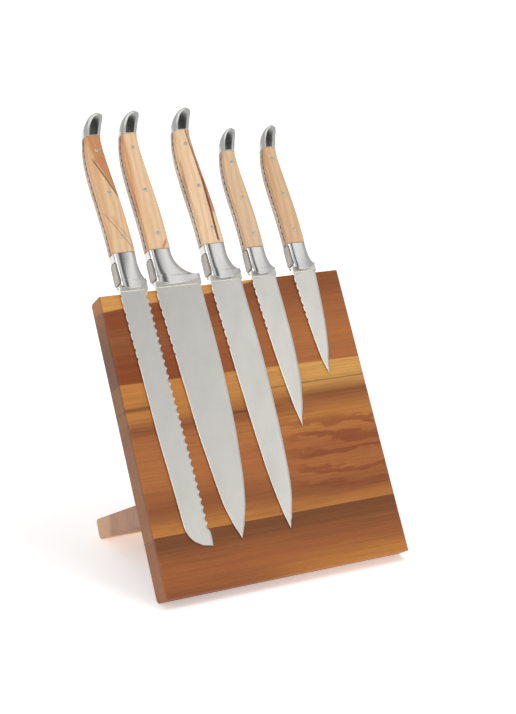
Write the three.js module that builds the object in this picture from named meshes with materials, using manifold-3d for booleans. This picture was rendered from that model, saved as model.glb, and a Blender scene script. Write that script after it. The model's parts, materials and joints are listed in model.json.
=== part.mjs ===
import * as THREE from 'three';
import { LoftGeometry } from 'three/addons/geometries/LoftGeometry.js';
import { mergeVertices } from 'three/addons/utils/BufferGeometryUtils.js';
import Module from 'manifold-3d';

// Magnetic knife block: a leaning board on a folding leg, with five knives on its face.
// Millimetres, +Z up. The board's front faces -Y. The origin is on the surface that the
// block stands on, in the middle of the flat along the board's lower back edge.

const wasm = await Module();
wasm.setup();

const degree = Math.PI / 180;

// ---------------------------------------------------------------- driving dimensions

const clearance = 0.3; // between pieces that touch or turn on each other

const board = {
  width: 206.4,
  height: 233.6,
  thickness: 22.8,
  lean: 31 * degree,
  backRadius: 6,
  sideRadius: 2,
  frontRadius: 1.2,
  frontSideRadius: 2.4,
};

const flatDepth = 0.35; // planed off the round lower edges where the block stands

const magnet = { length: 172, height: 20, thickness: 8, cornerRadius: 4, frontWall: 2.5 };
// The top magnet lies this far below the board's top edge, the bottom one this far above the
// hinges, and the middle one at this share of the way up between them.
const magnetRows = { topDrop: 28.6, aboveHinge: 48.9, middleShare: 0.536 };

const leg = {
  sideInset: 6,
  thickness: 17,
  slope: 26.2 * degree,
  hingeHeight: 59.1,
  lowerRadius: 4.5,
  upperRadius: 3.5,
  sideChamfer: 1,
};

const hinge = {
  length: 34,
  middleKnuckle: 12,
  reach: 22,
  leafThickness: 1.4,
  knuckleRadius: 2.6,
  pinRadius: 1.1,
  fromSide: 30,
};

const blade = { thickness: 2, edgeThickness: 0.6, aboveBoard: 0.8 };
const notch = { radius: 1.3, depth: 0.7, first: 3 };
const tang = { thickness: 3.4, proud: 0.5, tenonLength: 6, tenonMargin: 3.2 };
const bolsterWall = { spine: 2.4, belly: 3 };
const plate = { bottom: 5.5, height: 17, edge: 1.2, thickness: 1.4, proud: 0.6, cornerRadius: 1.6 };
const rivetRadius = 1.5;
const rivetShares = [0.13, 0.5, 0.87];
const rivetAcross = 0.56;

// The lower lip of a bolster, across the blade: share of the heel width, height.
const lip = [[0, 4.2], [0.3, 0.6], [0.65, 1.4], [1, 5]];
const lipSteps = [1, 0.85, 0.7, 0.5, 0.3, 0.15, 0]; // where the lip's curve is read
const widestNeck = 0.65; // of the heel width, where the ricasso narrows into the bolster

// The grip seen from the front: share of its length, distance from the line of the spine.
const gripSpine = [[0, -0.8], [0.2, -1.1], [0.4, -2.2], [0.6, -3.5], [0.74, -3.9], [0.88, -2.9], [1, -0.6]];
const gripBelly = [[0, 18.2], [0.3, 17.1], [0.5, 15.4], [0.7, 13.4], [0.85, 12.2], [0.95, 11.9], [1, 12.6]];
// The curved cap beyond it: distance from the line of the spine, height.
const capSpine = [[-0.6, 0], [1.2, 6.7], [4.6, 13.4], [9, 18.1], [13.8, 20.5]];
const capBelly = [[12.6, 0], [14.4, 4.7], [16.4, 9.8], [18.4, 14.1], [19.3, 17.4]];
const capHeight = 20.5;

const handleThickness = { bolster: 13.4, neck: 14, middle: 15.4, cap: 13.6, tip: 6.5 };
const handlePower = { bolster: 5.5, neck: 4.4, middle: 4, tip: 2.8, spine: 7, spineTip: 3.5 };

const largeGrip = { length: 97, girth: 1, bolsterHeight: 29.6 };
const smallGrip = { length: 83.2, girth: 0.87, bolsterHeight: 23.4 };

// place: the spine at the heel, from the middle of the board. heel: the width there.
// spine and edge: share of the blade's length below the heel, distance from the spine's line.
const knives = {
  bread: {
    place: -87, heel: 23, length: 202, grip: largeGrip, tilt: -0.012,
    flare: { top: 24, height: 16 }, wedge: 0.4, notches: 8, notchPitch: 7.2,
    spine: [[0, 0], [0.37, 3], [0.57, 4.6], [0.77, 7.2], [0.88, 8.4], [0.92, 9.1], [0.95, 11.2],
      [0.975, 15.3], [0.993, 21.5], [1, 29]],
    edge: [[1, 29], [0.94, 28.7], [0, 23]],
    scallops: { count: 31, depth: 1.6, start: 0.012, end: 0.942 },
  },
  chef: {
    place: -57.7, heel: 38.7, length: 201, grip: largeGrip, tilt: 0,
    flare: { top: 27, height: 19 }, wedge: 0.62, notches: 8, notchPitch: 7.2,
    spine: [[0, 0], [0.37, 4.9], [0.57, 7.7], [0.77, 12], [0.87, 15.5], [0.95, 19.5], [1, 23.4]],
    edge: [[1, 23.4], [0.96, 27.6], [0.87, 32.9], [0.77, 36.3], [0.57, 39.5], [0.3, 40.4], [0, 38.7]],
  },
  carving: {
    place: -11.3, heel: 27.4, length: 200.4, grip: largeGrip, tilt: -0.016,
    flare: { top: 24, height: 16 }, wedge: 0.45, notches: 8, notchPitch: 7.2,
    spine: [[0, 0], [0.37, 4], [0.57, 6.7], [0.77, 10], [0.87, 12.8], [0.95, 15.7], [1, 18.2]],
    edge: [[1, 18.2], [0.96, 21.7], [0.87, 26.2], [0.77, 28.5], [0.57, 29.9], [0.3, 29.9], [0, 27.4]],
  },
  utility: {
    place: 24.5, heel: 22, length: 124.1, grip: smallGrip, tilt: 0,
    flare: { top: 21, height: 15 }, wedge: 0.4, notches: 7, notchPitch: 6.6,
    spine: [[0, 0], [0.27, 2], [0.52, 4.7], [0.72, 7.4], [0.88, 10.2], [1, 13]],
    edge: [[1, 13], [0.92, 16], [0.84, 18.7], [0.7, 21.6], [0.45, 23.2], [0.2, 22.8], [0, 22]],
  },
  paring: {
    place: 61.4, heel: 21, length: 85.6, grip: smallGrip, tilt: 0,
    flare: { top: 21, height: 15 }, wedge: 0.4, notches: 7, notchPitch: 6.1,
    spine: [[0, 0], [0.4, 2.4], [0.65, 4.8], [0.85, 7.1], [1, 10.3]],
    edge: [[1, 10.3], [0.92, 12.4], [0.75, 15.9], [0.5, 18.7], [0.25, 20.2], [0, 21]],
  },
};

const outlineSteps = 12; // along one side of a blade
const sectionPoints = 14; // round a handle
const gripSteps = 7;
const bolsterSteps = 7;
const capSteps = 6;
const drillFacets = 8;
const barrelFacets = 16;

// ---------------------------------------------------------------- finishes

const finish = (color, roughness, metalness) =>
  new THREE.MeshStandardMaterial({ color, roughness, metalness });

const finishes = {
  acacia: finish('#9a5a2c', 0.5, 0),
  acaciaCover: finish('#8a4f28', 0.55, 0),
  acaciaLeg: finish('#8b5a3a', 0.5, 0),
  olive: finish('#d9a066', 0.45, 0),
  blade: finish('#c4c4c0', 0.32, 1),
  polished: finish('#b9babc', 0.14, 1),
  magnet: finish('#2e2d2f', 0.6, 0.3),
  hinge: finish('#a9a294', 0.35, 1),
};

// ---------------------------------------------------------------- solids

function solid(geometry) {
  const bare = new THREE.BufferGeometry().copy(geometry);
  bare.deleteAttribute('normal');
  bare.deleteAttribute('uv');
  const merged = mergeVertices(bare, 1e-4);
  const mesh = new wasm.Mesh({
    numProp: 3,
    vertProperties: merged.attributes.position.array,
    triVerts: Uint32Array.from(merged.index.array),
  });
  return new wasm.Manifold(mesh);
}

function piece(name, body, material) {
  const { vertProperties, triVerts } = body.getMesh();
  const geometry = new THREE.BufferGeometry();
  geometry.setAttribute('position', new THREE.BufferAttribute(vertProperties, 3));
  geometry.setIndex(new THREE.BufferAttribute(triVerts, 1));
  geometry.computeVertexNormals();
  const mesh = new THREE.Mesh(geometry, material);
  mesh.name = name;
  return mesh;
}

// A box between two corners.
function block(low, high) {
  const size = high.map((value, i) => value - low[i]);
  const middle = high.map((value, i) => (value + low[i]) / 2);
  return solid(new THREE.BoxGeometry(...size).translate(...middle));
}

const axisX = new THREE.Vector3(1, 0, 0);
const axisY = new THREE.Vector3(0, 1, 0);
const axisZ = new THREE.Vector3(0, 0, 1);
const axisFront = new THREE.Vector3(0, -1, 0);

// An outline extruded both ways from the middle, along one axis.
function extruded(shape, length, axis, options = {}) {
  const settings = { depth: length, bevelEnabled: false, curveSegments: 5, ...options };
  const geometry = new THREE.ExtrudeGeometry(shape, settings).translate(0, 0, -length / 2);
  if (axis === 'x') geometry.applyMatrix4(new THREE.Matrix4().makeBasis(axisY, axisZ, axisX));
  if (axis === 'y') geometry.applyMatrix4(new THREE.Matrix4().makeBasis(axisX, axisZ, axisFront));
  return solid(geometry);
}

function cylinderAlongX(radius, from, to, facets = barrelFacets) {
  const geometry = new THREE.CylinderGeometry(radius, radius, to - from, facets);
  return solid(geometry.rotateZ(Math.PI / 2).translate((from + to) / 2, 0, 0));
}

function cylinderAlongY(radius, length, x, z, facets = drillFacets) {
  return solid(new THREE.CylinderGeometry(radius, radius, length, facets).translate(x, 0, z));
}

// A rectangle about the middle whose corners are round: low left, low right, high right, high left.
function roundedRectangle(width, height, radii) {
  const [a, b, c, d] = radii;
  const x = width / 2;
  const y = height / 2;
  const shape = new THREE.Shape();
  shape.moveTo(-x + a, -y);
  shape.lineTo(x - b, -y);
  shape.absarc(x - b, -y + b, b, -Math.PI / 2, 0);
  shape.lineTo(x, y - c);
  shape.absarc(x - c, y - c, c, 0, Math.PI / 2);
  shape.lineTo(-x + d, y);
  shape.absarc(-x + d, y - d, d, Math.PI / 2, Math.PI);
  shape.lineTo(-x, -y + a);
  shape.absarc(-x + a, -y + a, a, Math.PI, 1.5 * Math.PI);
  return shape;
}

// Everything below the floor, in a frame turned by an angle about X whose origin is this high.
function belowFloor(turn, originHeight) {
  const depth = board.thickness; // more than the floor ever takes off
  const geometry = new THREE.BoxGeometry(2 * board.width, 2 * board.height, depth);
  geometry.translate(0, 0, -depth / 2).rotateX(turn);
  geometry.translate(0, originHeight * Math.sin(turn), -originHeight * Math.cos(turn));
  return solid(geometry);
}

const curveThrough = (points) => new THREE.SplineCurve(points.map(([x, y]) => new THREE.Vector2(x, y)));

// The second coordinate of a list of points, read at a value of the first.
function valueAt(points, at) {
  const last = points.length - 1;
  const next = points.findIndex(([x]) => x >= at);
  const k = next < 0 ? last : Math.max(next, 1);
  const share = (at - points[k - 1][0]) / (points[k][0] - points[k - 1][0]);
  return curveThrough(points).getPoint((k - 1 + THREE.MathUtils.clamp(share, 0, 1)) / last).y;
}

// ---------------------------------------------------------------- placement

const { lean } = board;
const originHeight = board.backRadius - flatDepth - board.backRadius * (Math.sin(lean) + Math.cos(lean));
const originDepth = board.backRadius * (Math.cos(lean) - Math.sin(lean));

const assembly = new THREE.Group();
const panel = new THREE.Group(); // x along the board, y back through it, z up along it
panel.rotation.x = -lean;
panel.position.set(0, originDepth, originHeight);
assembly.add(panel);

const hingeAxis = new THREE.Vector3(0, clearance, leg.hingeHeight);
const legFrame = new THREE.Group(); // y along the leg to its rear end, z out of its upper face
legFrame.rotation.x = lean - leg.slope;
legFrame.position.copy(hingeAxis);
panel.add(legFrame);

const hingeSides = { left: -1, right: 1 };
const legWidth = board.width - 2 * leg.sideInset;
const hingeX = (side) => side * (legWidth / 2 - hinge.fromSide);

// ---------------------------------------------------------------- block

function pocketOutline(margin) {
  const radius = magnet.cornerRadius + margin;
  const radii = [radius, radius, radius, radius];
  return roundedRectangle(magnet.length + 2 * margin, magnet.height + 2 * margin, radii);
}

// A slab with the pocket's outline between two depths measured forward from the back face.
function pocketSlab(margin, from, to, height) {
  return extruded(pocketOutline(margin), to - from, 'y').translate([0, -(from + to) / 2, height]);
}

const pocketDepth = board.thickness - magnet.frontWall;
const magnetBack = pocketDepth - clearance - magnet.thickness;

function hingeRecess(x) {
  const half = hinge.length / 2 + clearance;
  const barrel = cylinderAlongX(hinge.knuckleRadius + clearance, -half, half);
  const deep = clearance + hinge.leafThickness + clearance;
  const seat = block([-half, -deep, -hinge.reach - clearance], [half, clearance, 0]);
  return barrel.add(seat).translate([x, hingeAxis.y, hingeAxis.z]);
}

function magnetLevels() {
  const top = board.height - magnetRows.topDrop;
  const bottom = leg.hingeHeight + magnetRows.aboveHinge;
  return { top, middle: THREE.MathUtils.lerp(bottom, top, magnetRows.middleShare), bottom };
}

function boardBody() {
  const { width, height, thickness, backRadius: back, frontRadius: front } = board;
  const { sideRadius, frontSideRadius } = board;
  const side = extruded(roundedRectangle(thickness, height, [front, back, back, front]), width, 'x');
  const planRadii = [frontSideRadius, frontSideRadius, sideRadius, sideRadius];
  const plan = extruded(roundedRectangle(width, thickness, planRadii), height, 'z');
  let body = side.intersect(plan).translate([0, -thickness / 2, height / 2]);
  for (const level of Object.values(magnetLevels())) {
    body = body.subtract(pocketSlab(clearance, -1, pocketDepth, level));
  }
  for (const side of Object.values(hingeSides)) body = body.subtract(hingeRecess(hingeX(side)));
  return body.subtract(belowFloor(lean, originHeight));
}

function addBlock() {
  panel.add(piece('block_board', boardBody(), finishes.acacia));
  for (const [row, level] of Object.entries(magnetLevels())) {
    const bar = pocketSlab(0, magnetBack, pocketDepth - clearance, level);
    const cover = pocketSlab(0, 0, magnetBack - clearance, level);
    panel.add(piece(`magnet_bar_${row}`, bar, finishes.magnet));
    panel.add(piece(`slot_cover_${row}`, cover, finishes.acaciaCover));
  }
}

// ---------------------------------------------------------------- leg and hinges

const axisHeight = originHeight - hingeAxis.y * Math.sin(lean) + hingeAxis.z * Math.cos(lean);

// The leg is as long as it takes for its round lower corner to reach the floor.
function legLength() {
  const { slope, lowerRadius: radius } = leg;
  const drop = axisHeight + Math.cos(slope) * (clearance + radius) - radius + flatDepth;
  return radius + drop / Math.sin(slope);
}

function legProfile() {
  const { thickness, lowerRadius: low, upperRadius: high } = leg;
  const length = legLength();
  const bottom = clearance;
  const top = clearance + thickness;
  const frontSlant = Math.tan(lean - leg.slope);
  const shape = new THREE.Shape();
  shape.moveTo(bottom * frontSlant, bottom);
  shape.lineTo(length - low, bottom);
  shape.absarc(length - low, bottom + low, low, -Math.PI / 2, 0);
  shape.lineTo(length, top - high);
  shape.absarc(length - high, top - high, high, 0, Math.PI / 2);
  shape.lineTo(top * frontSlant, top);
  return shape;
}

function legRecess(x) {
  const half = hinge.length / 2 + clearance;
  const barrel = cylinderAlongX(hinge.knuckleRadius + clearance, -half, half);
  const deep = clearance + hinge.leafThickness + clearance;
  const seat = block([-half, 0, -clearance], [half, hinge.reach + clearance, deep]);
  return barrel.add(seat).translate([x, 0, 0]);
}

function legBody() {
  const chamfer = leg.sideChamfer;
  const options = { bevelEnabled: true, bevelThickness: chamfer, bevelSize: chamfer,
    bevelOffset: -chamfer, bevelSegments: 2 };
  let body = extruded(legProfile(), legWidth - 2 * chamfer, 'x', options);
  for (const side of Object.values(hingeSides)) body = body.subtract(legRecess(hingeX(side)));
  return body.subtract(belowFloor(leg.slope, axisHeight));
}

// Bores and cut-outs that both leaves of a hinge share: the pin's bore, and room for the
// other leaf's knuckles between two places along the pin.
const pinBore = () => cylinderAlongX(hinge.pinRadius + clearance, -hinge.length, hinge.length);
const knuckle = (from, to) => cylinderAlongX(hinge.knuckleRadius, from, to);
const knuckleRoom = (from, to) => cylinderAlongX(hinge.knuckleRadius + clearance, from, to);

function boardLeaf() {
  const end = hinge.length / 2;
  const middle = hinge.middleKnuckle / 2 + clearance;
  const back = -clearance;
  const leaf = block([-end, back - hinge.leafThickness, -hinge.reach], [end, back, 0]);
  const barrels = knuckle(-end, -middle).add(knuckle(middle, end));
  return leaf.subtract(knuckleRoom(-middle, middle)).add(barrels).subtract(pinBore());
}

function legLeaf() {
  const end = hinge.length / 2;
  const middle = hinge.middleKnuckle / 2;
  const leaf = block([-end, 0, clearance], [end, hinge.reach, clearance + hinge.leafThickness]);
  const room = knuckleRoom(-end - 1, -middle).add(knuckleRoom(middle, end + 1));
  return leaf.subtract(room).add(knuckle(-middle, middle)).subtract(pinBore());
}

function hingePin() {
  return cylinderAlongX(hinge.pinRadius, -hinge.length / 2, hinge.length / 2);
}

function addLegAndHinges() {
  legFrame.add(piece('support_leg', legBody(), finishes.acaciaLeg));
  for (const [name, side] of Object.entries(hingeSides)) {
    const x = hingeX(side);
    const onBoard = piece(`hinge_${name}_board_leaf`, boardLeaf(), finishes.hinge);
    onBoard.position.set(x, hingeAxis.y, hingeAxis.z);
    panel.add(onBoard);
    const onLeg = piece(`hinge_${name}_leg_leaf`, legLeaf(), finishes.hinge);
    const pin = piece(`hinge_${name}_pin`, hingePin(), finishes.hinge);
    for (const part of [onLeg, pin]) part.position.x = x;
    legFrame.add(onLeg, pin);
  }
}

// ---------------------------------------------------------------- handles
// A knife stands in its own frame: x from the line of the spine towards the edge, y back
// towards the board, z up from the heel. Everything from the bolster to the cap is one
// smooth body, which is then cut into its pieces.

const gripX = (points, grip, share) => valueAt(points, share) * grip.girth;

// The belly side of a bolster: a quarter of an ellipse from the heel in to the grip.
function bolsterBelly(knife, z) {
  const { flare, heel, grip } = knife;
  const neck = gripX(gripBelly, grip, 0);
  const down = THREE.MathUtils.clamp((flare.top - z) / flare.height, 0, 1);
  return heel - (heel - neck) * Math.sqrt(1 - down * down);
}

// One section of a handle, from a point on its spine side, where it is squarer, to one on its
// belly side.
function section(spine, belly, thickness, power, { wedge = 0, spinePower = handlePower.spine } = {}) {
  const points = [];
  for (let i = 0; i < sectionPoints; i++) {
    const angle = ((i + 0.5) / sectionPoints) * 2 * Math.PI;
    const squareness = Math.cos(angle) < 0 ? spinePower : power;
    const round = (value) => Math.sign(value) * Math.abs(value) ** (2 / squareness);
    const across = (1 + round(Math.cos(angle))) / 2;
    const y = (round(Math.sin(angle)) * thickness * (1 - wedge * across)) / 2;
    const x = THREE.MathUtils.lerp(spine[0], belly[0], across);
    points.push(new THREE.Vector3(x, y, THREE.MathUtils.lerp(spine[1], belly[1], across)));
  }
  return points;
}

function bolsterSections(knife) {
  const { grip, heel, wedge } = knife;
  const neck = gripX(gripBelly, grip, 0);
  const sections = [];
  for (let i = 0; i < bolsterSteps; i++) {
    const share = i / bolsterSteps;
    const z = share * grip.bolsterHeight;
    const belly = bolsterBelly(knife, z);
    const thinned = { wedge: (wedge * (belly - neck)) / (heel - neck) };
    const thickness = THREE.MathUtils.lerp(handleThickness.bolster, handleThickness.neck, share);
    const power = THREE.MathUtils.lerp(handlePower.bolster, handlePower.neck, share);
    const spineX = share * gripX(gripSpine, grip, 0);
    sections.push(section([spineX, z], [belly, z], thickness * grip.girth, power, thinned));
  }
  return sections;
}

function gripThickness(grip, share) {
  const { neck, middle, cap } = handleThickness;
  const ends = THREE.MathUtils.lerp(neck, cap, share);
  return grip.girth * (ends + (middle - (neck + cap) / 2) * Math.sin(Math.PI * share));
}

const tiltAt = (knife, z) => knife.tilt * Math.max(z - knife.grip.bolsterHeight, 0);

function gripEdges(knife, share) {
  const { grip } = knife;
  const z = grip.bolsterHeight + share * grip.length;
  const tilt = tiltAt(knife, z);
  return {
    z,
    spine: gripX(gripSpine, grip, share) + tilt,
    belly: gripX(gripBelly, grip, share) + tilt,
  };
}

function gripSections(knife) {
  const sections = [];
  for (let i = 0; i < gripSteps; i++) {
    const share = i / gripSteps;
    const { z, spine, belly } = gripEdges(knife, share);
    const blend = Math.min(share * 3, 1);
    const power = THREE.MathUtils.lerp(handlePower.neck, handlePower.middle, blend);
    sections.push(section([spine, z], [belly, z], gripThickness(knife.grip, share), power));
  }
  return sections;
}

function capSections(knife) {
  const { grip } = knife;
  const foot = grip.bolsterHeight + grip.length;
  const spineCurve = curveThrough(capSpine);
  const bellyCurve = curveThrough(capBelly);
  const place = ({ x, y }) => [x * grip.girth + tiltAt(knife, foot + y), foot + y];
  const sections = [];
  for (let i = 0; i <= capSteps; i++) {
    const share = i / capSteps;
    const spine = place(spineCurve.getPoint(share));
    const belly = place(bellyCurve.getPoint(share));
    const thickness = THREE.MathUtils.lerp(handleThickness.cap, handleThickness.tip, share ** 1.5);
    const power = THREE.MathUtils.lerp(handlePower.middle, handlePower.tip, share);
    const spinePower = THREE.MathUtils.lerp(handlePower.spine, handlePower.spineTip, share);
    sections.push(section(spine, belly, thickness * grip.girth, power, { spinePower }));
  }
  return sections;
}

function handleBody(knife) {
  const sections = [...bolsterSections(knife), ...gripSections(knife), ...capSections(knife)];
  return solid(new LoftGeometry(sections, { capStart: true, capEnd: true }));
}

// ---------------------------------------------------------------- blades

// Points of one side of a blade in its own frame, heel or tip first as the list has them.
function sideOfBlade(knife, points, steps = outlineSteps) {
  const curve = curveThrough(points);
  return curve.getPoints(steps).map(({ x, y }) => new THREE.Vector2(y, -x * knife.length));
}

// The scalloped edge from its end near the tip back to the heel: one shallow arc a scallop.
function scallopedEdge(knife) {
  const { count, depth, start, end } = knife.scallops;
  const arcSteps = 4;
  const points = [];
  for (let i = 0; i < count * arcSteps; i++) {
    const share = THREE.MathUtils.lerp(end, start, i / (count * arcSteps));
    const phase = (i % arcSteps) / arcSteps;
    const cut = depth * Math.sin(Math.PI * phase);
    points.push(new THREE.Vector2(valueAlong(knife.edge, share) - cut, -share * knife.length));
  }
  points.push(new THREE.Vector2(valueAlong(knife.edge, start), -start * knife.length));
  return points;
}

// A straight-sided edge that runs from the tip to the heel, read at a share of the length.
function valueAlong(points, share) {
  const [, start, heel] = points;
  return THREE.MathUtils.mapLinear(share, start[0], heel[0], start[1], heel[1]);
}

function bladeOutline(knife) {
  const spine = sideOfBlade(knife, knife.spine);
  const edge = knife.scallops ? scallopedEdge(knife) : sideOfBlade(knife, knife.edge).slice(1);
  const overlap = 0.5; // runs up into the ricasso
  const corners = [new THREE.Vector2(knife.heel, 0), new THREE.Vector2(knife.heel, overlap),
    new THREE.Vector2(0, overlap)];
  const heelDone = knife.scallops ? corners : corners.slice(1);
  return new THREE.Shape([...spine, ...edge, ...heelDone]);
}

// What is left after grinding: full thickness at the spine, thin at the edge, flat at the back.
function grind(knife) {
  const widest = Math.max(...knife.edge.map(([, x]) => x));
  const back = blade.thickness / 2;
  const margin = 1;
  const shape = new THREE.Shape();
  shape.moveTo(-margin, back);
  shape.lineTo(-margin, -back);
  shape.lineTo(0, -back);
  shape.lineTo(widest, back - blade.edgeThickness);
  shape.lineTo(widest + margin, back - blade.edgeThickness);
  shape.lineTo(widest + margin, back);
  return extruded(shape, 3 * knife.length, 'z');
}

const spineAt = (knife, z) => valueAt(knife.spine, -z / knife.length);

function spineNotches(knife) {
  let cuts = null;
  for (let i = 0; i < knife.notches; i++) {
    const z = -notch.first - i * knife.notchPitch;
    const x = spineAt(knife, z) - notch.radius + notch.depth;
    const cut = cylinderAlongY(notch.radius, 2 * tang.thickness, x, z);
    cuts = cuts ? cuts.add(cut) : cut;
  }
  return cuts;
}

const neckEdges = (knife) => ({
  left: bolsterWall.spine,
  right: gripX(gripBelly, knife.grip, 0) - bolsterWall.belly,
});

const tenonEdges = (knife) => {
  const top = gripEdges(knife, 1);
  return { left: top.spine + tang.tenonMargin, right: top.belly - tang.tenonMargin };
};

const lipPoint = (knife, share, rise = 0) =>
  new THREE.Vector2(share * knife.heel, valueAt(lip, share) + rise);

// Ricasso, neck, full tang and tenon, as one outline.
function tangOutline(knife) {
  const { grip, heel } = knife;
  const neck = neckEdges(knife);
  const tenon = tenonEdges(knife);
  const low = grip.bolsterHeight + clearance;
  const high = grip.bolsterHeight + grip.length - clearance;
  const points = [new THREE.Vector2(0, 0), new THREE.Vector2(heel, 0)];
  for (const share of lipSteps.filter((step) => step > widestNeck)) points.push(lipPoint(knife, share));
  const shoulder = Math.min(neck.right, widestNeck * heel);
  points.push(lipPoint(knife, shoulder / heel), new THREE.Vector2(shoulder, low));
  for (let i = 0; i <= gripSteps; i++) {
    const { z, belly } = gripEdges(knife, i / gripSteps);
    points.push(new THREE.Vector2(belly - clearance, THREE.MathUtils.clamp(z, low, high)));
  }
  const tip = high + clearance + tang.tenonLength;
  points.push(new THREE.Vector2(tenon.right, high), new THREE.Vector2(tenon.right, tip));
  points.push(new THREE.Vector2(tenon.left, tip), new THREE.Vector2(tenon.left, high));
  for (let i = gripSteps; i >= 0; i--) {
    const { z, spine } = gripEdges(knife, i / gripSteps);
    points.push(new THREE.Vector2(spine - tang.proud, THREE.MathUtils.clamp(z, low, high)));
  }
  points.push(new THREE.Vector2(neck.left, low), lipPoint(knife, neck.left / heel));
  points.push(lipPoint(knife, 0));
  return new THREE.Shape(points);
}

function bladeBody(knife, drilled) {
  const flat = extruded(bladeOutline(knife), 2 * blade.thickness, 'y').intersect(grind(knife));
  const thick = extruded(tangOutline(knife), tang.thickness, 'y');
  return flat.add(thick).subtract(spineNotches(knife)).subtract(drilled);
}

// ---------------------------------------------------------------- fittings on the handle

// The room below a bolster's lip, which the ricasso and the blade take up.
function belowLip(knife) {
  const margin = 10;
  const points = [new THREE.Vector2(-margin, -margin), new THREE.Vector2(knife.heel + margin, -margin)];
  points.push(new THREE.Vector2(knife.heel + margin, valueAt(lip, 1) + clearance));
  for (const share of lipSteps) points.push(lipPoint(knife, share, clearance));
  points.push(new THREE.Vector2(-margin, valueAt(lip, 0) + clearance));
  return extruded(new THREE.Shape(points), 2 * handleThickness.middle, 'y');
}

const layer = (knife, from, to) => {
  const reach = 2 * knife.heel + 60;
  return block([-reach, -reach, from], [reach, reach, to]);
};

const plateWidth = (knife, margin) =>
  (handleThickness.bolster * knife.grip.girth) - 2 * plate.edge + 2 * margin;

function plateSlab(knife, margin, from, to) {
  const height = Math.min(plate.height, knife.grip.bolsterHeight - plate.bottom - plate.edge);
  const radius = plate.cornerRadius + margin;
  const outline = roundedRectangle(plateWidth(knife, margin), height + 2 * margin,
    [radius, radius, radius, radius]);
  const middle = plate.bottom + height / 2;
  return extruded(outline, to - from, 'x', { curveSegments: 3 }).translate([(from + to) / 2, 0, middle]);
}

function bolsterBody(knife, whole) {
  const top = knife.grip.bolsterHeight;
  const neck = neckEdges(knife);
  const halfSlot = tang.thickness / 2 + clearance;
  const slot = block([neck.left - clearance, -halfSlot, -1], [neck.right + clearance, halfSlot, top + 1]);
  const seat = plateSlab(knife, clearance, -plate.thickness - 1, plate.thickness - plate.proud + clearance);
  return whole.intersect(layer(knife, 0, top)).subtract(belowLip(knife)).subtract(slot).subtract(seat);
}

function capBody(knife, whole) {
  const foot = knife.grip.bolsterHeight + knife.grip.length;
  const tenon = tenonEdges(knife);
  const halfSlot = tang.thickness / 2 + clearance;
  const pocket = block([tenon.left - clearance, -halfSlot, foot - 1],
    [tenon.right + clearance, halfSlot, foot + tang.tenonLength + clearance]);
  return whole.intersect(layer(knife, foot, foot + 2 * capHeight)).subtract(pocket);
}

// side is -1 for the scale at the front and 1 for the one at the back.
function scaleBody(knife, whole, side, drilled) {
  const low = knife.grip.bolsterHeight + clearance;
  const high = knife.grip.bolsterHeight + knife.grip.length - clearance;
  const inner = tang.thickness / 2 + clearance;
  const reach = 2 * handleThickness.middle;
  const room = side < 0
    ? block([-reach, -reach, low], [2 * reach, -inner, high])
    : block([-reach, inner, low], [2 * reach, reach, high]);
  return whole.intersect(room).subtract(drilled);
}

function rivetPlace(knife, share) {
  const { z, spine, belly } = gripEdges(knife, share);
  return { x: THREE.MathUtils.lerp(spine, belly, rivetAcross), z, length: gripThickness(knife.grip, share) };
}

function rivetHoles(knife) {
  let holes = null;
  for (const share of rivetShares) {
    const { x, z, length } = rivetPlace(knife, share);
    const hole = cylinderAlongY(rivetRadius + clearance, 2 * length, x, z);
    holes = holes ? holes.add(hole) : hole;
  }
  return holes;
}

function addKnife(name, knife) {
  const frame = new THREE.Group();
  const depth = board.thickness + clearance + blade.thickness / 2;
  frame.position.set(knife.place, -depth, board.height + blade.aboveBoard);
  const whole = handleBody(knife);
  const holes = rivetHoles(knife);
  frame.add(piece(`${name}_blade`, bladeBody(knife, holes), finishes.blade));
  frame.add(piece(`${name}_bolster`, bolsterBody(knife, whole), finishes.polished));
  const plateBody = plateSlab(knife, 0, -plate.proud, plate.thickness - plate.proud);
  frame.add(piece(`${name}_spine_plate`, plateBody, finishes.polished));
  frame.add(piece(`${name}_scale_front`, scaleBody(knife, whole, -1, holes), finishes.olive));
  frame.add(piece(`${name}_scale_back`, scaleBody(knife, whole, 1, holes), finishes.olive));
  frame.add(piece(`${name}_end_cap`, capBody(knife, whole), finishes.polished));
  rivetShares.forEach((share, i) => {
    const { x, z, length } = rivetPlace(knife, share);
    frame.add(piece(`${name}_rivet_${i + 1}`, cylinderAlongY(rivetRadius, length, x, z), finishes.polished));
  });
  panel.add(frame);
}

// ---------------------------------------------------------------- assembly

addBlock();
addLegAndHinges();
for (const [name, knife] of Object.entries(knives)) addKnife(name, knife);

export default assembly;
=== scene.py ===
"""Magnetic knife block with five knives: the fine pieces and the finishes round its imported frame."""

import json
import logging
import math
from collections.abc import Iterator, Sequence
from contextlib import contextmanager
from dataclasses import dataclass, field
from enum import Enum

import bmesh
import bpy
from mathutils import Matrix, Vector

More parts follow.
